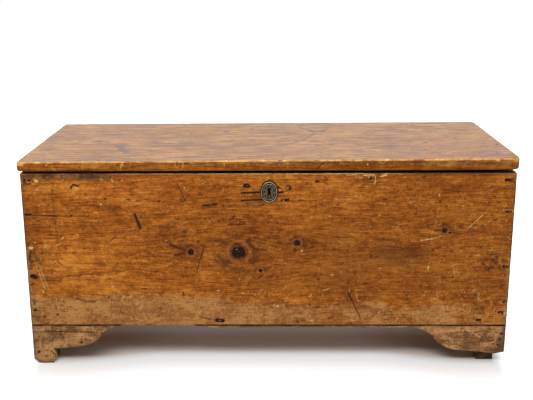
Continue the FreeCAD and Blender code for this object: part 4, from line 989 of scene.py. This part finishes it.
def make_foot_block(node, seed):
    """Rough-sawn block, its faces uneven and its edges broken."""
    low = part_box(node)[0]
    inside = 1 if low.x > 0 else -1
    behind = 1 if low.y < 0 else -1
    rough = outer_relief(seed, 18, 2.6)
    block = dress(node, [(0, -inside, 3.0, rough), (1, behind, 3.0, rough), (2, -1, 3.0, rough)])
    x, _, z = places_mm(block)
    # dark all over and darker near the floor: dirt, and painted shade of the blocks' place under the chest
    set_masks(block, grime=0.62 + 0.25 * step_up(z, 50, 5), worn=0.4 + 0.3 * rough_field(x, z, 20, seed))
    put_on(block, node, "chest", "raw_pine", raw_pine)


# ---- floor boards and till
def make_inner_board(node, faces, seed):
    def planed(u, v, edge):
        return 0.2 + 0.2 * rough_field(u, v, 60, seed) + arris(edge, 1.3 + 0.5 * field(u, v, 25, seed + 1))
    board = dress(node, [(axis, sign, step, planed) for axis, sign, step in faces])
    x, y, z = places_mm(board)
    set_masks(board, grime=0.15 + 0.25 * rough_field(x + z, y, 90, seed),
              worn=0.3 * rough_field(x, y, 60, seed + 3))
    put_on(board, node, "chest", "raw_pine", raw_pine)


# ---- lid
LID_ROUND = 5.0  # mm, top edge
LID_CORNERS = {(-1, -1): 15.0, (1, -1): 26.0, (-1, 1): 9.0, (1, 1): 15.0}  # radius by side and front or back
LID_LEFT, LID_RIGHT = lid_low.x / MM, lid_high.x / MM
LID_FRONT, LID_BACK = lid_low.y / MM, lid_high.y / MM
LID_THICKNESS_LEFT, LID_THICKNESS_RIGHT = 22.5, 27.5  # mm
LID_WIND_LEFT, LID_WIND_RIGHT = 1.1, 3.5  # mm, rise of the front edge
HINGE_Y = (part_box("left_hinge_pin")[0].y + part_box("left_hinge_pin")[1].y) / 2 / MM
LID_UNDER = RIM + 4.4  # at the hinge line
LID_ROWS = [0, 0.8, 1.7, 2.7, 3.8, 5.0, 6.6, 8.6, 10.8, 13.2, 15.8, 18.6, 21.4]  # mm below the top
LID_COLUMNS = [0, 0.8, 1.8, 3.0, 4.2, 5.6, 7.4, 9.6, 12.2, 15.0, 18.0, 22.0, 26.0]  # mm from the edges


def right_share(x):
    return (x - LID_LEFT) / (LID_RIGHT - LID_LEFT)


def lid_rise(x, y):
    """The lid's wind: how far it stands above its hinge line, in mm, more to the front and to the right."""
    wind = LID_WIND_LEFT + (LID_WIND_RIGHT - LID_WIND_LEFT) * right_share(x)
    return wind * (HINGE_Y - y) / (HINGE_Y - LID_FRONT)


def lid_thickness(x):
    return LID_THICKNESS_LEFT + (LID_THICKNESS_RIGHT - LID_THICKNESS_LEFT) * right_share(x)


def slab_lattice(xs, ys, zs):
    """Vertices and faces of a box from grid lines: quads on top and round it, and a fan below."""
    last_x, last_y, last_z = len(xs) - 1, len(ys) - 1, len(zs) - 1
    number = {}
    keys = []

    def vertex(i, j, k):
        if (i, j, k) not in number:
            number[i, j, k] = len(keys)
            keys.append((i, j, k))
        return number[i, j, k]

    faces = []
    for i in range(last_x):
        for j in range(last_y):
            faces.append((vertex(i, j, last_z), vertex(i + 1, j, last_z), vertex(i + 1, j + 1, last_z),
                          vertex(i, j + 1, last_z)))
    ring = [(i, 0) for i in range(last_x)] + [(last_x, j) for j in range(last_y)]
    ring += [(i, last_y) for i in range(last_x, 0, -1)] + [(0, j) for j in range(last_y, 0, -1)]
    for (i, j), (m, n) in zip(ring, ring[1:] + ring[:1]):
        for k in range(last_z):
            faces.append((vertex(i, j, k), vertex(m, n, k), vertex(m, n, k + 1), vertex(i, j, k + 1)))
    loop = [vertex(i, j, 0) for i, j in ring]
    index = np.array(keys)
    points = np.stack([xs[index[:, 0]], ys[index[:, 1]], zs[index[:, 2]]], 1)
    centre = len(points)
    points = np.concatenate([points, [[0.0, 0.0, zs[0]]]])
    faces += [(b, a, centre) for a, b in zip(loop, loop[1:] + loop[:1])]
    return points, faces


def lid_corner(x, y, side, end):
    """Centre and radius of a plan corner, and which places lie in its square."""
    radius = LID_CORNERS[side, end]
    cx = side * (LID_RIGHT - radius)
    cy = (LID_FRONT + radius) if end < 0 else (LID_BACK - radius)
    return cx, cy, radius, ((x - cx) * side > 0) & ((y - cy) * end > 0)


def rounded_plan(x, y):
    """Places of the square lattice, drawn round each plan corner's centre."""
    for side, end in LID_CORNERS:
        cx, cy, _, here = lid_corner(x, y, side, end)
        dx, dy = (x - cx) * side, (y - cy) * end
        reach = np.maximum(dx, dy)
        length = np.maximum(np.hypot(dx, dy), 1e-9)
        x = np.where(here, cx + side * dx / length * reach, x)
        y = np.where(here, cy + end * dy / length * reach, y)
    return x, y


def way_out(x, y):
    """Distance from the plan outline, and the direction to it."""
    inset = np.full_like(x, 1e9)
    out_x, out_y = np.zeros_like(x), np.zeros_like(x)
    for value, sx, sy in ((x - LID_LEFT, -1, 0), (LID_RIGHT - x, 1, 0),
                          (y - LID_FRONT, 0, -1), (LID_BACK - y, 0, 1)):
        nearer = value < inset
        inset = np.where(nearer, value, inset)
        out_x, out_y = np.where(nearer, sx, out_x), np.where(nearer, sy, out_y)
    for side, end in LID_CORNERS:
        cx, cy, radius, here = lid_corner(x, y, side, end)
        length = np.maximum(np.hypot(x - cx, y - cy), 1e-9)
        inset = np.where(here, radius - length, inset)
        out_x, out_y = np.where(here, (x - cx) / length, out_x), np.where(here, (y - cy) / length, out_y)
    return inset, out_x, out_y


def lid_block():
    """Rounded, twisted and dented slab that lies just inside the CAD lid.

    It is drawn with a level top at height 0 and brought to the twisted board's height at the end.
    """
    xs = graded_lines(LID_LEFT, LID_RIGHT, 2.6, LID_COLUMNS)
    ys = graded_lines(LID_FRONT, LID_BACK, 3.1, LID_COLUMNS)
    under = -LID_THICKNESS_LEFT - OUTSIDE / MM
    points, faces = slab_lattice(xs, ys, np.array([under] + [-row for row in LID_ROWS[::-1]]))
    x, y, z = points.T.copy()
    centre = len(x) - 1
    on_top = z > -1e-6
    x, y = rounded_plan(x, y)
    inset, out_x, out_y = way_out(x, y)
    inset = np.where(on_top, np.maximum(inset, 0), 0.0)
    down = np.where(on_top, 0.0, -z)

    # rounded top edge
    bend = LID_ROUND + 0.2 + 0.9 * (1 + rough_field(x * (np.abs(out_y) + 0.2), y + z * 0.1, 28, 81)) / 2
    flat_in, flat_down = np.maximum(bend - inset, 0), np.maximum(bend - down, 0)
    in_round = (flat_in > 0) & (flat_down > 0)
    length = np.maximum(np.hypot(flat_in, flat_down), 1e-9)
    away = np.where(in_round, flat_in / length, np.where(on_top, 0.0, 1.0))
    up = np.where(in_round, flat_down / length, np.where(on_top, 1.0, 0.0))
    new_inset = np.where(in_round, bend - bend * flat_in / length, inset)
    new_down = np.where(in_round, bend - bend * flat_down / length, down)

    # dents and wear go in against the surface
    depth_top, _, _ = lay_marks(lid_marks, x, y - FRONT)
    depth_front, _, _ = lay_marks(lid_edge_marks, x, -z)
    front_side = (~on_top) & (out_y < -0.5)
    fall = 0.35 + 0.28 * rough_field(x, y * 2.2, 130, 83) + 0.1 * field(x, y, 20, 85)
    fall = fall + np.where(front_side, depth_front, np.where(on_top, depth_top, 0.0)) * PRESS
    fall = fall + np.where(in_round, 0.5 * np.clip(rough_field(x, y + z, 12, 87), 0, 1), 0.0)
    shift = new_inset + fall * away - inset
    x, y = x - out_x * shift, y - out_y * shift
    height = LID_UNDER + lid_rise(x, y) + lid_thickness(x) - (new_down + fall * up)
    z = np.where(z > under + 1e-6, height, LID_UNDER - OUTSIDE / MM - 0.6)
    x[centre], y[centre] = 0.0, 0.0
    return new_mesh_object("block", np.stack([x, y, z], 1) * MM, faces)


LID_MARKS = [
    # stains, pale streaks and dents, in mm from the middle and behind the front of the case
    dent(-534, 137, 36, 28, 0.2, 0.52, 0.5, 10), dent(-362, 186, 46, 28, 0.2, 0.48, 0.6),
    cut(-368, 176, -338, 88, 24, 0.2, 0.46, 0.6), dent(-350, 114, 34, 26, 0.2, 0.4, 0.6),
    dent(-170, 43, 34, 14, 0.3, 0.6, 0.4, 5), dent(126, 356, 54, 28, 0.3, 0.6, 0.6, -6),
    cut(88, 404, 118, 372, 15, 0.3, 0.46, 0.6), cut(156, 384, 128, 356, 14, 0.3, 0.44, 0.6),
    cut(124, 350, 112, 292, 14, 0.3, 0.4, 0.6), cut(112, 292, 92, 246, 12, 0.3, 0.4, 0.6),
    cut(94, 244, 54, 184, 13, 0.4, 0.48, 0.5), cut(54, 184, 6, 148, 11, 0.4, 0.4, 0.5),
    cut(6, 148, -20, 70, 9, 0.4, 0.28, 0.5), dent(140, 60, 26, 12, 0.4, 0.55, 0.35, 20),
    dent(118, 44, 18, 9, 0.4, 0.5, 0.35, -20), dent(154, 168, 20, 14, 0.4, 0.5, 0.35),
    dent(-432, 235, 20, 16, 0.3, 0.55, 0.35, 10), dent(-408, 330, 44, 16, 0.3, 0.5, 0.35, 6),
    dent(-345, 434, 60, 14, 0.3, 0.45, 0.35), chip(395, 372, 46, 12, 0.2, 0.85, 0.6),
    chip(358, 388, 36, 10, 0.2, 0.8, 0.6, 6), chip(455, 352, 52, 14, 0.2, 0.8, 0.6, -4),
    chip(498, 214, 40, 24, 0.2, 0.5, 0.6, 10), chip(176, 384, 16, 12, 0.2, 0.5, 0.4),
    dent(-406, 223, 14, 12, 0.4, 0.7), dent(-539, 305, 12, 12, 0.4, 0.7), dent(-529, 354, 12, 14, 0.4, 0.6),
    dent(-92, 234, 12, 12, 0.4, 0.7), dent(-114, 358, 14, 18, 0.4, 0.7), dent(-132, 171, 12, 12, 0.4, 0.6),
    dent(-107, 372, 12, 16, 0.4, 0.6), dent(397, 436, 18, 18, 0.4, 0.6), dent(392, 192, 16, 14, 0.4, 0.65),
    dent(475, 243, 16, 14, 0.4, 0.65), dent(560, 158, 12, 16, 0.5, 0.7), dent(538, 68, 14, 12, 0.4, 0.6),
    chip(-493, 237, 26, 20, 0.3, 0.6, 0.35), chip(-380, 263, 60, 40, 0.2, 0.3, 0.35, 20),
]


def make_lid():
    lid = common_part(lid_block(), welded_copy("lid_board"), "lid_board")
    x, y, z = places_mm(lid)
    above = z - LID_UNDER - lid_rise(x, y)
    from_top = lid_thickness(x) - above
    to_front, to_end = y - LID_FRONT, np.minimum(x - LID_LEFT, LID_RIGHT - x)
    shown = step_up(above, 4.0, 9.0)
    under = step_up(above, 1.0, 0.3)
    on_front = to_front < 3
    _, dark, pale = lay_marks(lid_marks, x, y - FRONT)
    _, dark_edge, pale_edge = lay_marks(lid_edge_marks, x, from_top)
    outside = np.abs(np.minimum(to_front, to_end + 0.6) - 1.5) + np.abs(from_top - 1.0) * 0.8
    arris_pale = step_up(outside, 5.2, 1.6) * np.clip(0.6 + 0.9 * rough_field(x, y, 16, 101), 0.15, 0.95)
    # pale front corners: rubbed wood, and a painted highlight
    corner = step_up(to_front + to_end, 24, 15) * step_up(from_top, 13, 8)
    pale = highest(np.where(on_front, pale_edge, pale * shown), arris_pale * step_up(to_front, 260, 60),
                   corner * np.clip(0.9 + 0.5 * rough_field(x, z, 6, 109), 0.3, 1))
    grime = np.clip(0.1 + 0.2 * rough_field(x, y, 70, 105), 0, 1)
    ruddy = on_front * (0.15 + 0.5 * step_up(x, -100, 250)) * (1 + 0.5 * rough_field(x, z, 40, 107))
    # the underside is darkened: dirt, and painted shade for the gap under the closed lid
    set_masks(lid, dark=np.where(on_front, dark_edge, dark * shown), pale=pale * (1 - under),
              worn=np.clip(0.2 + 0.3 * rough_field(x, y, 120, 103), 0, 1) * shown,
              grime=highest(grime * shown, under * 0.42), ruddy=ruddy)
    put_on(lid, "lid_board", "lid", "lid_pine", lid_pine,
           (edge_pine, lambda place, normal: normal[:, 2] < 0.5),
           (raw_pine, lambda place, normal: normal[:, 2] < -0.9))


LID_EDGE_MARKS = [
    # the lid's front edge, in mm from the middle and below the top
    dent(-430, 14, 4, 4, 0.6, 0.88), scratch(-330, 1, -337, 17, 2, 0.3, 0.75),
    scratch(-337, 8, -328, 11, 1.8, 0.3, 0.55), chip(-506, 9, 5, 4, 0.3, 0.75),
    scratch(-492, 14, -486, 21, 1.8, 0.3, 0.55), scratch(-210, 4, -212, 17, 1.5, 0.3, 0.42),
    scratch(-194, 4, -195, 19, 1.7, 0.3, 0.6), scratch(-99, 6, -99, 15, 1.7, 0.2, 0.55),
    scratch(46, 5, 46, 20, 1.5, 0.2, 0.45), cut(113, 20, 128, 7, 2.2, 0.6, 0.88),
    # the pale chip at x 523 is a painted highlight on the arris
    dent(28, 2, 10, 4, 0.4, 0.8), chip(523, 4, 10, 5, 0.5, 1), chip(227, 12, 5, 5, 0.3, 0.75),
    chip(257, 8, 9, 3, 0.3, 0.55), chip(328, 13, 5, 4, 0.3, 0.65),
]


# ---- keyhole plate
BEADS = 44
LEAVES = 9
PLATE_RINGS = 54  # of the mesh
BORDER_AT, RINGS_AT, LEAVES_AT = 1.25, (5.0, 10.6), 7.8  # mm, in from the outline
FIELD_LOW, FIELD_HIGH = 0.35, 0.98  # mm, how far the cast ornament inside the rim stands up
EDGE_HEIGHT, LEAST_HEIGHT = 0.9, 0.12  # mm
KEYHOLE_TOP = 3.0  # mm, from the middle of the plate up to where the slot begins
KEYHOLE_LENGTH = 13.5


def bump_at(inward, middle, half, power=2):
    return np.exp(-((inward - middle) / half) ** power)


def cast_height(inward, angle, thick):
    """Height in mm of the plate's ornament: a beaded rim, and leaves between two rings."""
    bead = 0.62 + 0.38 * np.abs(np.cos(angle * BEADS / 2)) ** 0.6
    rings = bump_at(inward, RINGS_AT[0], 0.55) + 0.8 * bump_at(inward, RINGS_AT[1], 0.7)
    leaves = bump_at(inward, LEAVES_AT, 1.5) * (0.5 + 0.5 * np.cos(angle * LEAVES + 0.7))
    leaves = leaves * (0.6 + 0.4 * np.cos(angle * 3 * LEAVES))
    inner = 0.55 * step_up(inward, 11.0, 12.5)
    cast = FIELD_LOW + (FIELD_HIGH - FIELD_LOW) * np.clip(rings + 1.1 * leaves + inner, 0, 1)
    return np.minimum(cast + (thick - FIELD_HIGH) * bump_at(inward, BORDER_AT, 0.8, 4) * bead, thick - 0.05)


def disc_faces(rings, around, middle, behind):
    """Faces of rings of vertices round a middle. The last ring is at the back, round the vertex behind."""
    faces = []
    for j in range(around):
        k = (j + 1) % around
        faces += [(middle, j, k), ((rings - 1) * around + j, behind, (rings - 1) * around + k)]
        for start in range(0, (rings - 1) * around, around):
            faces.append((start + j, start + around + j, start + around + k, start + k))
    return faces


def make_escutcheon():
    """Oval cast plate with a keyhole."""
    low, high = PLATE_LOW, PLATE_HIGH
    centre_x, centre_z = (low.x + high.x) / 2, (low.z + high.z) / 2
    half_x, half_z = (high.x - low.x) / 2, (high.z - low.z) / 2
    radial = np.linspace(0.0, 1.0, PLATE_RINGS) ** 0.85
    angle = np.linspace(0, 2 * math.pi, BEADS * 8, endpoint=False)
    r, a = np.meshgrid(radial[1:], angle, indexing="ij")
    inward = (1 - r) * half_x / MM
    height = cast_height(inward, a, (high.y - low.y) / MM)
    height = np.where(r > 0.985, np.minimum(height, EDGE_HEIGHT), height) * step_up(inward, -0.4, 0.25)
    x = centre_x + r * half_x * np.cos(a) * 0.997
    z = centre_z + r * half_z * np.sin(a) * 0.997
    y = high.y - np.maximum(height, LEAST_HEIGHT) * MM
    rings, around = r.shape
    front = np.stack([x, y, z], -1).reshape(-1, 3)
    back = np.stack([x[-1], np.full(around, high.y + OUTSIDE), z[-1]], -1)
    middles = [[centre_x, high.y - 0.5 * MM, centre_z], [centre_x, high.y + OUTSIDE, centre_z]]
    verts = np.concatenate([front, back, middles])
    faces = disc_faces(rings + 1, around, len(verts) - 2, len(verts) - 1)
    plate = common_part(new_mesh_object("block", verts, faces), welded_copy("escutcheon"), "escutcheon")
    x, y, z = places_mm(plate)
    stand = high.y / MM - y
    below = centre_z / MM + KEYHOLE_TOP - z
    # painted shade: the plate is painted near black in and around the keyhole slot
    half_slot = 2.7 + 0.12 * np.clip(below, 0, 20)
    slot = step_up(np.abs(x - centre_x / MM), half_slot + 0.7, half_slot + 0.1)
    slot = slot * (below > -1) * (below < KEYHOLE_LENGTH)
    bright = 0.75 * step_up(stand, 0.7, 0.97) + 0.25 * step_up(stand, 1.2, 2.0)
    set_attribute(plate, "pale", bright * (1 - slot))
    set_attribute(plate, "dark", highest(0.8 * step_up(stand, 0.7, 0.42), slot))
    put_on(plate, "escutcheon", "chest", "brass", brass_old)


# ---- materials and pieces
QUIET_PLACES = (-446, 460, 11), (556, 467, 13)  # mm, where the photo has no random mark, and how far round


def clear_of(marks, quiet):
    return [m for m in marks if all(math.hypot(m.u - u, m.v - v) > reach for u, v, reach in quiet)]


FRONT_RANDOM = [
    # function, number, x range, z range, seed and what else the function takes
    (scattered, 420, (-560, 560), (103, 468), 5, 1.0, 0.14),
    (scattered, 90, (-566, -480), (103, 468), 6, 1.0, 0.4),
    (scattered, 90, (490, 566), (103, 440), 8, 1.0, 0.4),
    (scattered, 120, (-150, 540), (103, 190), 10, 1.0, 0.45),
    (rubbed, 70, (-60, 560), (106, 190), 12),
    (rubbed, 26, (-480, -100), (105, 175), 14, 60, 50, 12),
    (rubbed, 30, (300, 540), (180, 300), 16, 85, 30, 18, 0.25),
    (scattered, 60, (-566, -330), (456, 472), 20, 1.1, 0.6),
    (scattered, 34, (-567, -545), (150, 330), 22, 1.3, 0.6),
    (scattered, 30, (552, 567), (110, 460), 24, 1.3, 0.6),
]
front_marks = KNOT_FIGURE + plate_ring() + clear_of(from_rows(FRONT_RANDOM), QUIET_PLACES) + FRONT_MARKS
plinth_marks = PLINTH_MARKS + from_rows([
    (scattered, 110, (-568, -350), (6, 95), 7, 1.2, 0.5),
    (scattered, 110, (340, 568), (30, 95), 17, 1.2, 0.5),
])
lid_marks = LID_MARKS + scattered(260, (-560, 560), (5, 460), 9, 1.7, 0.2)
lid_edge_marks = from_rows([
    (scattered, 70, (-565, 565), (4, 24), 13, 0.9),
    (rubbed, 26, (-565, 565), (3, 16), 18, 80, 25, 9, 0.34),
]) + LID_EDGE_MARKS

CASE_TONES = (0.165, 0.046, 0.006), (0.365, 0.108, 0.011), (0.59, 0.220, 0.028)
LID_TONES = (0.200, 0.074, 0.020), (0.370, 0.158, 0.043), (0.56, 0.270, 0.080)
EDGE_TONES = (0.130, 0.034, 0.004), (0.290, 0.082, 0.006), (0.47, 0.165, 0.016)
BASE_TONES = (0.140, 0.055, 0.018), (0.300, 0.122, 0.038), (0.49, 0.230, 0.080)
BACK_TONES = (0.15, 0.060, 0.020), (0.27, 0.115, 0.036), (0.38, 0.185, 0.065)
RAW_TONES = (0.30, 0.17, 0.075), (0.44, 0.27, 0.13), (0.55, 0.37, 0.20)
BACK_KNOTS = [(-240, 303, 12, 9, 30), (180, 295, 9, 8, 24), (400, 313, 6, 5, 16)]
END_KNOTS = {"left": [(-70, 333, 9, 8, 24), (92, 325, 5, 4, 14)],
             "right": [(40, 253, 10, 8, 26), (-120, 265, 5, 4, 14)]}
front_pine = pine("front_pine", *CASE_TONES, knots=FRONT_KNOTS, seed=3.1, streak=0.85, reach=0.55,
                  bare=(0.66, 0.42, 0.14), specular=0.08)
lid_pine = pine("lid_pine", *LID_TONES, seed=8.0, streak=1.8, patch=1.05, reach=0.62, spread=1.7, redden=0.15,
                bare=(0.60, 0.31, 0.075), stained=(0.120, 0.082, 0.078), specular=0.6, roughness=0.42)
edge_pine = pine("edge_pine", *EDGE_TONES, seed=8.0, patch=0.9, reach=0.8, redden=0.2,
                 bare=(0.66, 0.34, 0.06), specular=0.10)
raw_pine = pine("raw_pine", *RAW_TONES, seed=5.0, redden=0.2, fleck=0.6, roughness=0.65)
end_pines = {side + "_end_board": pine(side + "_end_pine", *CASE_TONES, 1, END_KNOTS[side], (1, 2), seed=seed)
             for side, seed in (("left", 13.0), ("right", 17.0))}
back_pine = pine("back_pine", *BACK_TONES, knots=BACK_KNOTS, seed=23.0)
plinth_pine = pine("plinth_pine", *BASE_TONES, seed=29.0, patch=2.4, streak=1.3, worn=(0.54, 0.28, 0.110),
                   worn_red=(0.20, 0.085, 0.030), reach=0.6)
iron_dark = iron("iron_dark")
brass_old = brass("brass_old")

make_front()
make_end("left_end_board", -1, 31)
make_end("right_end_board", 1, 37)
make_back()
make_front_plinth()
make_side_plinth("left_plinth", -1, 51)
make_side_plinth("right_plinth", 1, 53)
make_bracket("back_left_bracket", 55)
make_bracket("back_right_bracket", 57)
for number, corner in enumerate(("front_left", "front_right", "back_left", "back_right")):
    make_foot_block(corner + "_foot_block", 111 + number)
make_inner_board("bottom_front_board", [(2, 1, 9.0), (2, -1, 9.0)], 121)
make_inner_board("bottom_back_board", [(2, 1, 9.0), (2, -1, 9.0)], 123)
make_inner_board("till_side_board", [(0, -1, 6.0), (0, 1, 6.0), (2, 1, 4.0)], 125)
make_inner_board("till_bottom_board", [(2, 1, 6.0)], 127)
make_lid()
make_escutcheon()

finish = {"case_pine": front_pine, "lid_pine": lid_pine, "base_pine": front_pine, "raw_pine": raw_pine,
          "iron": iron_dark, "brass": brass_old}
slots = {s["node"]: s["material_slot"] for s in frame["record"]["subparts"]}
for node_name, node in frame["nodes"].items():
    if node_name in slots and not node.hide_render:
        node.data.materials.clear()
        node.data.materials.append(finish[slots[node_name]])

# ---- floor, lights and camera
FLOOR_HALF = 8.0
FLOOR_COLOUR = (0.62, 0.62, 0.62)
FLOOR_UNDER_PAINTED_BOUNCE = (0.80, 0.56, 0.40)  # painted warm bounce light from the wood over it
# painted tint of the shadow's edge on the floor
FLOOR_EDGE_PAINTED_TINT = (0.60, 0.52, 0.46)
SHADE_HALF_X = 0.545  # half length of the floor area under the chest that gets no backdrop light
SHADE_HALF_Y = (0.220, 0.264)  # its half depth in the middle and at the feet
SHADE_MIDDLE = 0.055  # y of its middle
SHADE_LIFT = 0.045  # faint light under the middle of the chest
SHADE_BACK = 0.055  # and under its rear half
WORLD_FRONT = 0.22  # light of the room in front of the chest
WORLD_BACK = 0.42  # and behind it
WORLD_GLOSS = 1.0  # and behind it in reflections
LAMPS = [
    # name, place, target, size, watts
    ("key", (-0.5, -2.45, 2.75), (0, 0, 0.3), (2.6, 0.8), 96),
    ("fill", (1.9, -2.5, 2.2), (0, 0, 0.3), (1.8, 0.9), 15),
    ("top", (0.0, 0.5, 3.0), (0, 0, 0.4), (3.0, 2.0), 24),
]
CAMERA_PLACE = (0.0140, -2.1863, 0.9362)
CAMERA_TURN = (-0.510, 15.134, 0.186)  # degrees to the right, down and of roll
LENS, SENSOR = 58.83, 36.0  # mm


def make_floor():
    """Floor that keeps the shadow near the chest and goes over into plain white farther out. Near the chest
    it is painted: a warm bounce tint under the chest, and a camera glow that stops along the edge of the
    shadow, with a little painted light under the middle and the rear.
    """
    corners = np.array([(-1, -1, 0), (1, -1, 0), (1, 1, 0), (-1, 1, 0)]) * FLOOR_HALF
    floor = new_mesh_object("floor", corners, [(0, 1, 2, 3)])
    t = Tree("floor_white")
    x, y, _ = t.split(t.add("TexCoord", {}, PLACE))
    off_x = t.math("ABSOLUTE", x)
    off_y = t.math("ABSOLUTE", t.math("SUBTRACT", y, SHADE_MIDDLE))
    beyond_x = t.times(t.math("MAXIMUM", t.math("SUBTRACT", off_x, SHADE_HALF_X), 0.0), 6.0)
    beyond_y = t.math("MAXIMUM", t.math("SUBTRACT", off_y, t.span(off_x, 0.25, 0.50, *SHADE_HALF_Y)), 0.0)
    away = t.math("SQRT", t.plus(t.times(beyond_x, beyond_x), t.times(beyond_y, beyond_y)))
    under = t.mix(t.span(off_y, 0.165, 0.205), FLOOR_UNDER_PAINTED_BOUNCE, FLOOR_EDGE_PAINTED_TINT)
    paint = t.add("BsdfDiffuse", {"Color": t.mix(t.span(away, 0.0, 0.03), under, FLOOR_COLOUR)})
    # painted light and shadow: the camera glow is shaped to draw the shadow's edge, and lifts the floor a
    # little under the chest
    glow = t.plus(t.span(away, 0.0, 0.05, 0.0, 0.28), t.span(away, 0.03, 0.30, 0.0, 0.72))
    glow = t.plus(glow, t.span(off_x, 0.45, 0.15, 0.0, SHADE_LIFT))
    glow = t.plus(glow, t.span(y, -0.10, -0.02, 0.0, SHADE_BACK))
    light = t.add("Emission", {"Strength": t.times(t.add("LightPath", {}, "Is Camera Ray"), glow)})
    t.add("OutputMaterial", {0: t.add("AddShader", {0: paint, 1: light})}, None)
    floor.data.materials.append(t.owner)


def make_world():
    """White all round for the camera, and behind the chest for reflections; for the lighting a dim room."""
    t = Tree("studio", bpy.data.worlds)
    bpy.context.scene.world = t.owner
    toward_back = t.split(t.add("TexCoord", {}, "Generated"))[1]
    room, gloss = [t.span(toward_back, -0.3, 0.5, WORLD_FRONT, back, smooth=False)
                   for back in (WORLD_BACK, WORLD_GLOSS)]
    strength = t.choose(t.add("LightPath", {}, "Is Glossy Ray"), room, gloss)
    strength = t.choose(t.add("LightPath", {}, "Is Camera Ray"), strength, 1.0)
    t.add("OutputWorld", {0: t.add("Background", {0: (1.0, 1.0, 1.0), 1: strength})}, None)


def make_lamp(name, place, target, size, watts):
    data = bpy.data.lights.new(name, "AREA")
    data.shape = "RECTANGLE"
    data.size, data.size_y = size
    data.energy = watts
    lamp = new_object(name, data)
    lamp.location = place
    lamp.rotation_euler = (Vector(target) - Vector(place)).to_track_quat("-Z", "Y").to_euler()


def make_camera():
    """Camera at the place that the photo was taken from."""
    yaw, pitch, roll = (math.radians(a) for a in CAMERA_TURN)
    forward = Vector((math.sin(yaw) * math.cos(pitch), math.cos(yaw) * math.cos(pitch), -math.sin(pitch)))
    right = Vector((math.cos(yaw), -math.sin(yaw), 0))
    down = forward.cross(right)
    right_rolled = right * math.cos(roll) + down * math.sin(roll)
    down_rolled = down * math.cos(roll) - right * math.sin(roll)
    data = bpy.data.cameras.new("camera")
    data.lens, data.sensor_width = LENS, SENSOR
    camera = new_object("camera", data)
    turn = Matrix((right_rolled, -down_rolled, -forward)).transposed()
    camera.matrix_world = Matrix.Translation(CAMERA_PLACE) @ turn.to_4x4()
    bpy.context.scene.camera = camera


make_floor()
make_world()
for lamp in LAMPS:
    make_lamp(*lamp)
make_camera()
bpy.context.scene.view_settings.view_transform = "Standard"
